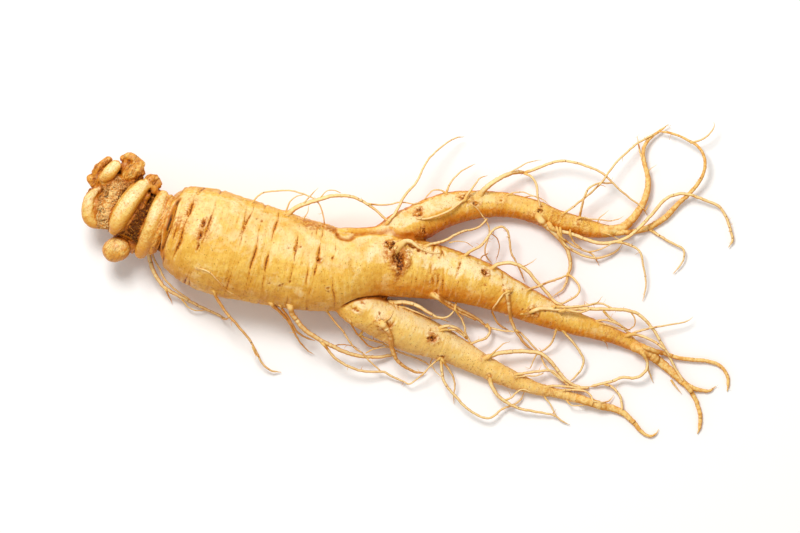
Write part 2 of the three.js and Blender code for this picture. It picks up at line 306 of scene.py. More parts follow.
def ringLines(name, limb):
    lines = []
    for start, end, strength, torn in rings[name]:
        along, angle = topPlace(limb, *start)
        alongEnd, angleEnd = topPlace(limb, *end)
        lines.append((along, angle, alongEnd, angleEnd, strength, torn))
        turn = math.copysign(1, angleEnd - angle)
        for place, edge, way in ((along, angle, -turn), (alongEnd, angleEnd, turn)):  # it goes on, fainter
            near, far = dice.uniform(0.1, 0.4), dice.uniform(0.9, 1.8)
            drift, fainter = dice.gauss(0, 1.1), strength * dice.uniform(0.6, 1.1)
            lines.append((place, edge + way * near, place + drift, edge + way * far, fainter, [(0.3, 0.6)]))
    length = limb["travel"][-1]
    for _ in range(rings["strayCount"][name]):
        middle = dice.uniform(-math.pi, math.pi)
        hidden = abs(middle) > 1.45  # on the under side, where no ring is listed
        half = dice.uniform(0.3, 1.1) if hidden else dice.uniform(0.1, 0.45)
        along = dice.uniform(0.02, 0.9) ** 1.3 * length
        lean = dice.gauss(0, 0.5)
        strength = dice.uniform(0.3, 0.9) if hidden else dice.uniform(0.05, 0.25)
        torn = [(0.3, dice.uniform(0.4, 0.8))] if hidden and dice.random() < 0.5 else []
        lines.append((along, middle + half, along + lean, middle - half, strength, torn))
    return lines


# Scars and pits, by the limb they are on: x and y seen from above, size along and round, depth, darkness.
scars = {
    "trunk": [
        (-60.3, 16.5, 0.7, 1.5, 0.5, 0.75), (-61.2, 13.2, 0.6, 1.5, 0.6, 0.95),
        (-61.9, 9.8, 0.35, 1.2, 0.35, 0.7), (-64.6, 19.6, 0.5, 1.0, 0.4, 0.6),
        (-49.1, 15.6, 0.35, 0.9, 0.35, 0.55), (-27, 6.1, 0.8, 0.7, 0.6, 0.8),
        (-22.9, 6.7, 0.35, 0.35, 0.3, 0.8), (-38.4, -1.5, 0.35, 0.3, 0.3, 0.75),
        (-37.6, -1.1, 0.25, 0.25, 0.25, 0.7), (-35.4, -0.4, 0.25, 0.5, 0.25, 0.6),
        (-24.2, -2.4, 0.5, 0.5, 0.25, 0.4), (-34.1, 9.6, 0.3, 0.9, 0.3, 0.55),
        (-45.4, 18.3, 0.3, 0.3, 0.25, 0.7), (-43.9, 17.6, 0.3, 0.35, 0.25, 0.7),
        (-3.6, 6.6, 2.1, 2.6, 1.2, 1.0), (-5.8, 10.2, 1.3, 1.5, 0.6, 0.85),
        (-3, 4.2, 1.3, 1.6, 0.6, 0.95), (-3.8, 2.2, 1.1, 2.4, 0.15, 0.6), (0.6, 9.9, 1.4, 0.5, 0.5, 0.8),
        (-3.9, 3.4, 0.3, 1.2, 0.2, 0.5), (2.4, 9, 0.7, 0.5, 0.4, 0.7), (4.6, 8.2, 0.3, 0.3, 0.3, 0.7),
        (22.3, 2.5, 1.0, 1.0, 0.5, 0.85), (14.2, 3.8, 0.3, 0.4, 0.3, 0.6),
        (29.2, -3.1, 0.7, 0.8, 0.35, 0.5), (36.7, -9.3, 1.4, 1.2, 0.4, 0.8),
        (34.8, -9.9, 0.5, 0.6, 0.2, 0.6), (-4.6, -4.6, 1.3, 0.8, 0.4, 0.7),
        (-21.4, 13.7, 0.8, 0.6, 0.7, 0.85), (-23.6, 15.2, 0.9, 0.6, 0.4, 0.5),
        (7.6, -3.4, 0.6, 1.2, 0.2, 0.35), (27.4, -1.1, 0.3, 0.3, 0.2, 0.5),
        (-24.2, -3.4, 0.3, 0.3, 0.2, 0.5),
    ],
    "upperLeg": [
        (2.2, 20.6, 0.9, 0.8, 0.4, 0.75), (2.6, 18.9, 0.7, 0.7, 0.35, 0.6),
        (16.6, 24.6, 1.2, 0.7, 0.4, 0.5), (19.6, 22.7, 1.1, 0.5, 0.3, 0.45),
        (27.6, 23.8, 0.4, 0.4, 0.25, 0.4), (39.9, 22, 0.5, 0.4, 0.25, 0.35),
        (46, 19, 0.35, 0.35, 0.2, 0.4),
    ],
    "lowerLeg": [
        (-8.5, -12.7, 1.5, 1.4, 0.5, 0.6), (6.4, -17.1, 1.4, 1.2, 0.5, 0.85),
        (-16, -8.6, 1.2, 0.8, 0.3, 0.4), (-14.2, -6.4, 0.4, 0.4, 0.25, 0.5),
        (9.6, -22.8, 0.9, 0.7, 0.3, 0.6), (23.4, -23.2, 0.7, 0.6, 0.3, 0.5),
        (24.2, -28.4, 0.7, 0.6, 0.3, 0.5),
    ],
    "strayCount": {"trunk": 80, "upperLeg": 22, "lowerLeg": 20},
}


def heightBelow(tree, x, y):
    hit = tree.ray_cast(Vector((x, y, 60)), Vector((0, 0, -1)))
    return hit[0].z if hit[0] is not None else -1.0


# Creases, where one limb presses against another: x and y of its way seen from above, depth, width,
# darkness of the shade painted along it, and whether it moves into the sharpest fold beside it.
creases = [
    ([(-20.4, -8.8), (-18.9, -6.9), (-17.2, -5.6), (-15.1, -5.1), (-11, -5), (-6.5, -4.9), (-1, -5),
      (3, -5.4)], 0.45, 0.36, 1.0, True),
    ([(-23, 16), (-21.6, 13.9), (-20, 12.5), (-17.6, 12.2), (-15.6, 13.2)], 0.45, 0.8, 0.5, True),
    ([(-17.4, 12.3), (-14, 14), (-10.2, 14.9), (-5.6, 14.9), (-1.4, 13.8), (3, 12.4)], 0.5, 1.1, 0.32, True),
    ([(1.8, 12.8), (5.7, 11.8), (9.6, 10.8)], 0.4, 1.0, 0.75, True),
    ([(-67.4, 25.4), (-69.4, 21.5), (-70.9, 17.5), (-72.2, 13), (-73.2, 9), (-73.9, 6)],
     0.5, 0.75, 0.95, False),
]


def sharpestShift(line, tree):  # how far each spot of a line moves sideways to lie in a fold
    side = curveFrames(line)[1]
    shifts = np.arange(-1.4, 1.41, 0.1)
    heights = np.array([[heightBelow(tree, *(spot + across * shift)[:2]) for shift in shifts]
                        for spot, across in zip(line, side)])
    span = 5
    inner = shifts[span:-span]
    bend = heights[:, :-2 * span] + heights[:, 2 * span:] - 2 * heights[:, span:-span] - 0.3 * np.abs(inner)
    shift = inner[np.argmax(bend, axis=1)]
    shift = np.convolve(np.pad(shift, 3, "edge"), np.ones(7) / 7, "valid")
    return side * shift[:, None]


def foldLine(way, tree, snap):
    line, _ = smoothCurve([(x, y, 0) for x, y in way], 0.4)
    if snap:
        line += sharpestShift(line, tree)
    line[:, 2] = [heightBelow(tree, x, y) for x, y in line[:, :2]]
    return line if snap else line[line[:, 2] > 0]


def markCreases(points, tree, values):
    sink = np.zeros(len(points))
    for way, depth, width, dark, snap in creases:
        line = foldLine(way, tree, snap)
        rows = np.nonzero(np.abs(points[:, 0] - line[:, 0].mean()) < np.ptp(line[:, 0]) / 2 + 3)[0]
        rows = rows[points[rows, 2] > line[:, 2].min() - 3]
        finder = nearestFinder(line)
        found = [finder.find(point) for point in points[rows]]
        far = np.array([hit[2] for hit in found]) / width
        share = np.array([hit[1] for hit in found]) / len(line)
        ends = smoothStep(0, 0.12, share) * smoothStep(1, 0.88, share)
        sink[rows] += depth * np.exp(-far**2) * ends
        # Painted shade: the darkness along the fold.
        values["crease"][rows] = np.maximum(values["crease"][rows], dark * ends * np.exp(-(far * 0.85) ** 2))
    return sink


def scarSpots(name, limb):
    spots = []
    for x, y, sizeAlong, sizeRound, depth, dark in scars[name]:
        along, angle = topPlace(limb, x, y)
        spots.append((along, angle, sizeAlong, sizeRound, depth, dark))
    for _ in range(scars["strayCount"][name]):
        angle = dice.uniform(-math.pi, math.pi)
        big = 1.0 if abs(angle) > 1.7 else 0.55
        size = dice.uniform(0.25, 0.6) * big
        along = dice.uniform(0.03, 0.9) * limb["travel"][-1]
        spots.append((along, angle, size, size * dice.uniform(0.8, 1.8), 0.3 * big, dice.uniform(0.3, 0.8)))
    return spots


def markLimb(points, own, along, angle, name, limb, values):  # grooves and scars of one limb
    radius = np.interp(along, limb["travel"], limb["radii"])
    sink = np.zeros(len(points))
    for number, line in enumerate(ringLines(name, limb)):
        start, angleStart, end, angleEnd, strength, torn = line
        share = (angle - angleStart) / (angleEnd - angleStart + 1e-6)
        low, high = min(angleStart, angleEnd), max(angleStart, angleEnd)
        present = smoothStep(low - 0.1, low + 0.15, angle) * (1 - smoothStep(high - 0.15, high + 0.1, angle))
        near = own & (np.abs(along - (start + end) / 2) < abs(start - end) / 2 + 3.5) & (present > 0)
        if not near.any():
            continue
        rows = np.nonzero(near)[0]
        wobble = np.array([noise.noise(Vector((a * 2.2, number * 4.1, 0.5))) for a in angle[rows]])
        wobble = wobble * rings["wobble"]
        place = start + (end - start) * share[rows] + wobble
        apart = np.abs(along[rows] - place)
        gape = np.zeros(len(rows))
        for first, last in torn:
            edge = 0.35 * (last - first)
            opening = smoothStep(first - edge, first + edge, share[rows])
            gape = np.maximum(gape, opening * smoothStep(last + edge, last - edge, share[rows]))
        patchy = np.array([noise.noise(Vector((a * 3.1, number * 2.3, 9.5))) for a in angle[rows]])
        fade = present[rows] * strength * (0.42 + 0.4 * patchy + 0.85 * gape)
        closer = apart - 0.5 * fade < values["ringGap"][rows] - 0.5 * values["ringDepth"][rows]
        rowsCloser = rows[closer]
        values["ringGap"][rowsCloser] = np.minimum(apart[closer], 3)
        values["ringDepth"][rowsCloser] = fade[closer]
        groove = np.exp(-(apart / rings["width"]) ** 2)
        lip = np.exp(-((apart - rings["lipPlace"]) / rings["lipWidth"]) ** 2)
        sink[rows] += rings["depth"] * fade * (groove - rings["lipHeight"] * lip)
    for number, (place, turn, sizeAlong, sizeRound, depth, dark) in enumerate(scarSpots(name, limb)):
        turned = (angle - turn + math.pi) % (2 * math.pi) - math.pi
        far = np.hypot((along - place) / sizeAlong, turned * radius / sizeRound)
        rows = np.nonzero(own & (far < 2.4))[0]
        shift = Vector((number, 0, 0))
        ragged = np.array([noise.noise(Vector(p) / 0.8 + shift) for p in points[rows]])
        reach = far[rows] + 0.45 * ragged
        hollow = 1 - smoothStep(0.35, 1.1, reach)
        rim = np.exp(-((reach - 1.25) / 0.35) ** 2)
        values["scar"][rows] = np.maximum(values["scar"][rows], dark * hollow)
        stained = 0.75 * dark * (1 - smoothStep(0.9, 2.3, reach))
        values["blush"][rows] = np.maximum(values["blush"][rows], stained)
        sink[rows] += depth * (hollow - 0.45 * rim)
    return sink


def shadeDepth(points, normals, tree, reach):  # how closed in each point is, from 0 to 1
    count = 18
    spread = []
    golden = math.pi * (3 - math.sqrt(5))
    for index in range(count):
        lift = math.sqrt((index + 0.5) / count)
        turn = index * golden
        spread.append((math.cos(turn) * lift, math.sin(turn) * lift, math.sqrt(1 - lift * lift)))
    closed = np.zeros(len(points))
    for row in range(len(points)):
        normal = Vector(normals[row])
        side = normal.orthogonal().normalized()
        other = normal.cross(side)
        start = Vector(points[row]) + normal * 0.05
        total = 0.0
        for a, b, c in spread:
            hit = tree.ray_cast(start, side * a + other * b + normal * c, reach)
            if hit[0] is not None:
                total += 1 - hit[3] / reach
        closed[row] = total / count
    return closed


def paintedSideShade(normals, steep=0.56):  # painted shade: a share that makes the skin warmer and darker on faces turned down, on faces turned towards -y away from the lamp, and on steep sides
    below = smoothStep(0.0, 1.0, 0.72 - 0.62 * normals[:, 2] - 0.5 * normals[:, 1])
    return np.maximum(below, 0.8 * smoothStep(steep, 0.05, normals[:, 2]))


core = {
    "sides": 56,
    "voxel": 0.435,
    "fairing": 6,
    "fillets": [  # where limbs flow into each other: x, y, z, reach, rounds of smoothing
        (-23, 15, 17, 4, 8), (2, 10, 10, 6, 3), (-21, -9, 8, 4, 12),
    ],
    "swell": 0.32,
    "lumps": 0.11,
    "creases": 0.095,
    "floorGap": 0.12,
    "shadeReach": 5.0,
    # painted shade: how strong the side shade is on the head, the legs, the upper leg and the lower leg
    "sideShadeStrength": {"head": 0.76, "legs": 1.2, "upperLeg": 1.6, "lowerLeg": 0.5},
    "gnarls": [  # knobbly scars: x, y, reach, height
        (-5.4, 10.5, 2.5, 0.6), (-3.4, 7.2, 2.6, 0.55), (2.4, 19.6, 1.6, 0.5), (4.6, 14.6, 1.8, 0.4),
        (22.4, 2.4, 1.2, 0.4), (36.8, -9.2, 1.2, 0.4), (6.4, -17.1, 1.2, 0.4), (16.8, 24.4, 1.4, 0.45),
        (20, 22.8, 1.1, 0.4), (-60.9, 16.6, 1.0, 0.35), (-64.9, 19.3, 0.9, 0.35), (-22, 14.4, 1.2, 0.35),
        (39.4, 20.6, 1.3, 0.35),
    ],
    "blushes": [  # orange-brown skin, partly stain and partly painted shade where limbs meet and at the head end: x, y, z, reach, strength
        (-71, 16, 16, 7, 0.6), (-71, 24, 14, 5, 0.5), (-70.4, 20, 24, 3.4, 0.6),
        (-71.4, 14.5, 25, 3.2, 0.6), (-73, 9, 22, 4, 0.6), (-69, 25, 20, 4, 0.5), (-29, 17, 20, 5, 0.85),
        (-23.4, 15.4, 19, 3.6, 0.8), (-17, -8, 10, 8, 0.5), (1, 11, 14, 7, 0.6), (-8, -13, 10, 5, 0.45),
        (5, 15, 10, 7, 0.6), (10, -5, 8, 9, 0.4), (17, 24, 9, 5, 0.4), (-3.6, 7.4, 22.5, 5.6, 0.95),
        (8, -3, 13, 5.5, 0.7), (7, 1, 18, 5, 0.4), (37, -9.4, 10, 3.5, 0.7), (38, 18, 6, 6, 0.5),
        (44, 17.5, 5, 7, 0.4), (51, 16, 5, 7, 0.4), (7, -17, 11, 4, 0.4), (60, -17, 3, 9, 0.3),
        (44, -33, 2, 9, 0.3), (-61, 13, 29, 5, 0.35), (-68, 8, 20, 6, 0.6), (-67.5, 15.5, 26, 6, 0.6),
        (-64, 22, 24, 5, 0.4), (28, 23, 6, 5, 0.3),
    ],
}


def swellings(points, faces):  # where the skin heaves up under a rootlet: place, size and heading
    tree = BVHTree.FromPolygons(points.tolist(), faces)
    spots = []
    for table in (trunkRootlets, upperLegRootlets, middleLegRootlets, lowerLegRootlets):
        for start, _, _, thick, _, way in table.values():
            (x, y), (onX, onY) = way[:2]
            under = heightBelow(tree, x, y)
            place, _, _, far = tree.find_nearest(Vector((x, y, under if under > 0.5 else start)))
            if far < 1.2 and thick > 0.25:
                heading = np.array([onX - x, onY - y, 0]) / math.hypot(onX - x, onY - y)
                spots.append((np.array(place), thick, heading))
    return spots


def raiseSwellings(points, faces, values):
    sink = np.zeros(len(points))
    for place, thick, heading in swellings(points, faces):
        offset = points - place - heading * 0.8 * thick
        onward = offset @ heading
        across = np.linalg.norm(offset - onward[:, None] * heading, axis=1)
        far = np.hypot(onward / (1.9 * thick + 0.5), across / (1.25 * thick + 0.35))
        sink -= 0.95 * thick * np.exp(-far**2)
        values["blush"] = np.maximum(values["blush"], 0.45 * np.exp(-((far * 0.8) ** 2)))
    return sink


def raiseGnarls(points, tree, values):
    sink = np.zeros(len(points))
    for x, y, reach, height in core["gnarls"]:
        far = np.linalg.norm(points - [x, y, heightBelow(tree, x, y)], axis=1)
        near = 1 - smoothStep(0.4 * reach, reach, far)
        cells = np.zeros(len(points))
        for index in np.flatnonzero(near > 0):
            cells[index] = noise.voronoi(Vector(points[index]) / 1.15)[0][0] - 0.42
        sink += height * near * cells
        values["scar"] = np.maximum(values["scar"], near * smoothStep(0.08, 0.3, cells))
        values["blush"] = np.maximum(values["blush"], (0.3 + 0.8 * height) * near)
    return sink


def makeCore(material):
    parts = [tube(limb["centres"], limb["radii"], core["sides"]) for limb in limbs.values()]
    points, edges, faces = fused(parts, core["voxel"])
    points = fairSkin(points, edges, core["fairing"])
    for x, y, z, reach, rounds in core["fillets"]:
        far = np.linalg.norm(points - [x, y, z], axis=1)
        points = relaxed(points, edges, rounds, 0.6, 1 - smoothStep(reach * 0.35, reach, far))

    marks = ("ringDepth", "scar", "blush", "crease", "thin", "slender")
    values = {key: np.zeros(len(points)) for key in marks}
    values["ringGap"] = np.full(len(points), 3.0)
    smooth = BVHTree.FromPolygons(points.tolist(), faces)
    sink = markCreases(points, smooth, values)
    places = {name: limbPlaces(points, limb) for name, limb in limbs.items()}
    outside = np.array([places[name][2] for name in limbs])
    owner = np.argmin(outside, axis=0)
    ranked = np.sort(outside, axis=0)
    apartness = smoothStep(0.0, 2.6, ranked[1] - ranked[0])  # 0 where two limbs meet
    values["join"] = 1 - apartness
    flow = np.zeros_like(points)
    for number, (name, limb) in enumerate(limbs.items()):
        along, angle, _ = places[name]
        own = owner == number
        sink += markLimb(points, own, along, angle, name, limb, values)
        radius = np.interp(along, limb["travel"], limb["radii"])
        turned = np.column_stack([along + number * 40, np.cos(angle) * radius, np.sin(angle) * radius])
        flow[own] = turned[own]
        values["thin"][own] = smoothStep(5.5, 1.6, radius[own])
        values["slender"][own] = smoothStep(13, 7.5, radius[own])
    sink += raiseSwellings(points, faces, values) + raiseGnarls(points, smooth, values)
    normals = vertexNormals(points, faces)
    creased = np.array([noise.fractal(Vector((f[0] / 0.9, f[1] / 7, f[2] / 7)), 0.8, 2.0, 3) for f in flow])
    rise = core["swell"] * roughness(points, 11, 1) + core["lumps"] * roughness(points, 2.6, 2)
    rise += core["creases"] * creased * apartness
    thin = smoothStep(0.8, 5, np.interp(points[:, 0], [-75, -20, 30, 75], [15, 10, 5, 0.8]))
    points = points + normals * (rise * (0.35 + 0.65 * thin) - sink)[:, None]
    points[:, 2] = np.maximum(points[:, 2], core["floorGap"])

    for x, y, z, reach, strength in core["blushes"]:
        far = np.linalg.norm(points - [x, y, z], axis=1)
        values["blush"] = np.maximum(values["blush"], strength * (1 - smoothStep(reach * 0.2, reach, far)))
    normals = vertexNormals(points, faces)
    tree = BVHTree.FromPolygons(points.tolist(), faces)
    closed = shadeDepth(points, normals, tree, core["shadeReach"])
    values["closedIn"] = evened(closed, edges, 2)
    # Painted shade: a share of warmer, darker skin on faces turned away from the lamp, set limb by limb.
    sideShadeStrength = core["sideShadeStrength"]
    warm = np.interp(points[:, 0], [-15, 5], [sideShadeStrength["head"], sideShadeStrength["legs"]])
    warm = np.where(owner == list(limbs).index("upperLeg"), np.maximum(warm, sideShadeStrength["upperLeg"]), warm)
    onLower = owner == list(limbs).index("lowerLeg")
    values["sideShade"] = paintedSideShade(normals) * np.where(onLower, sideShadeStrength["lowerLeg"], warm)
    # Painted light: the lower leg made paler from x -20 mm on.
    values["lowerLegLight"] = evened(onLower * np.interp(points[:, 0], [-20, 2], [0, 1]), edges, 5)
    values["hollow"] = hollows(points, edges, normals, 5) / 0.1
    values["flow"] = flow
    makePiece("trunk_and_legs", points, faces, material, values)
    return tree


# Rootlets. Each is: start height, end height, lift, thickness at the start and at the end, and its way in
# x and y.
trunkRootlets = {
    "shoulderHair": (17, 20, 3, 0.27, 0.2, [
        (-46.5, 23.1), (-43.8, 25.7), (-40.8, 26.3), (-35.7, 26.6), (-31.2, 25.7), (-28.2, 24.2),
        (-26.4, 22.2), (-25.4, 19.8), (-24.9, 16.5)]),
    "shoulderBridge": (15, 10, 3, 0.8, 0.36, [
        (-36, 19.8), (-33.3, 21.5), (-30.3, 22.7), (-26.7, 23.9), (-23.1, 24.9), (-19.5, 25.2),
        (-15.9, 24.6), (-12.9, 23.1), (-9.9, 21), (-5.7, 17.4)]),
    "bridgeFork": (12.5, 6, 0, 0.3, 0.18, [
        (-12.3, 22.8), (-8.7, 22.4), (-5.1, 22.7), (-2.1, 23.3), (1.5, 22.8), (3.9, 23.1)]),
    "shoulderSprout": (16, 18, 1, 0.27, 0.15, [
        (-36.3, 20.7), (-35.1, 23.3), (-33.3, 24.8), (-31.2, 25.4)]),
    "bridgeSprout": (15.5, 17, 0.5, 0.27, 0.15, [(-31.8, 22.2), (-29.7, 24.5), (-26.7, 27.5)]),
    "bridgeHair": (15, 14, 1, 0.18, 0.15, [(-26.1, 24.5), (-24.3, 26.4), (-22.2, 26.7), (-20.1, 26)]),
    "shoulderWhisker": (19, 20, 0, 0.17, 0.1, [(-30.9, 18.6), (-30, 20.1), (-29.6, 21.9)]),
    "neckLong": (10, 0.8, 0, 0.78, 0.33, [
        (-77.5, 9.4), (-77.3, 6.6), (-76.4, 3.3), (-74.6, 0), (-72.3, -2.6), (-69.3, -4.4), (-66, -6),
        (-62.7, -7.7), (-59.4, -9.3), (-56.4, -10.8), (-54.3, -11.8)]),
    "neckLongSpur": (2.4, 0.8, 0.2, 0.36, 0.15, [(-72.9, -2.1), (-71.7, -4.7), (-70.7, -7.2)]),
    "neckSecond": (10.5, 1.6, 0, 0.33, 0.27, [
        (-76.6, 8.8), (-75.8, 5.9), (-74.1, 2.9), (-72.5, -0.2), (-70.2, -2.3), (-67.8, -4.2),
        (-65.4, -6)]),
    "neckSecondTip": (1.8, 0.8, 0.2, 0.27, 0.15, [
        (-67.8, -5.7), (-66, -7.8), (-63.9, -9), (-60.9, -9.1)]),
    "waistLong": (9, 0.8, 0, 0.5, 0.27, [
        (-57.9, -3.3), (-56.4, -6.3), (-54.5, -9.3), (-52.2, -12.2), (-49.8, -14.9), (-47.7, -17.4),
        (-46.1, -20.1), (-44.6, -23.1), (-43.1, -25.5), (-40.8, -27.2), (-38.1, -27.6)]),
    "waistSpur": (1.3, 0.8, 0.1, 0.3, 0.2, [(-46.5, -19.8), (-45.8, -21.8), (-44.4, -23.4)]),
    "waistKnot": (2.6, 1.6, 0.2, 0.24, 0.18, [(-55.8, -11.6), (-54.3, -11.7), (-53, -10.4)]),
    "ribOne": (9.5, 1, 0, 0.57, 0.15, [
        (-41.1, -6.9), (-38.1, -9.6), (-35.7, -12.3), (-34.2, -15.2), (-32.7, -18), (-30.8, -20.4),
        (-28.2, -22.4)]),
    "ribSecond": (9.5, 4, 0, 0.39, 0.27, [
        (-38.4, -7.5), (-36.3, -10.2), (-34.8, -12.9), (-33.3, -15.3), (-30.9, -17), (-27.9, -18.2)]),
    "ribRope": (9.5, 1, 0.2, 0.9, 0.48, [
        (-35.7, -7.8), (-33.9, -11.1), (-31.5, -14.1), (-28.5, -16.4), (-24.9, -18.6), (-21, -20.6),
        (-17.1, -22.1), (-12.9, -22.9), (-8.4, -23), (-3.3, -22.2)]),
    "ribRopeFork": (3, 0.9, 0.3, 0.48, 0.3, [
        (-26.1, -18.3), (-24, -20.7), (-21.9, -23.1), (-19.2, -25), (-16.2, -26.5), (-13.2, -27.3),
        (-10.2, -27.5), (-7.2, -27.6), (-4.8, -28.8), (-2.4, -29.9), (0, -31.1)]),
    "ribHair": (2.4, 1.2, 0.3, 0.2, 0.12, [
        (-22.5, -19.5), (-19.5, -19.3), (-16.8, -19.7), (-14.4, -20.7)]),
    "hipHair": (9, 1, 0, 0.33, 0.24, [
        (-24.3, -9.3), (-21.6, -12.9), (-19.4, -15.3), (-17.7, -18.2), (-15.9, -20.4), (-13.5, -21.9),
        (-11.4, -24.3), (-8.4, -27.2)]),
    "hipHairSecond": (8, 1.6, 0, 0.3, 0.2, [
        (-17.7, -11.7), (-15.9, -15), (-13.8, -17.6), (-12, -19.5), (-9.9, -20.4), (-7.5, -19.7)]),
    "hipHairThird": (7, 2, 0.3, 0.33, 0.27, [
        (-14.4, -16.5), (-11.1, -17.9), (-7.8, -18.9), (-4.8, -20.6), (-1.2, -22.1), (3, -23.7),
        (6.9, -25.7)]),
    "hipHairFourth": (2, 1.2, 0.3, 0.2, 0.15, [
        (-12.6, -21.8), (-10.2, -20.7), (-7.8, -20.3), (-5.4, -20)]),
    "skinRootlet": (23, 20, 0, 0.3, 0.18, [
        (-62.4, 3.6), (-58.8, 2.1), (-55.8, -0.9), (-53.1, -3.6), (-49.5, -5.4)]),
}

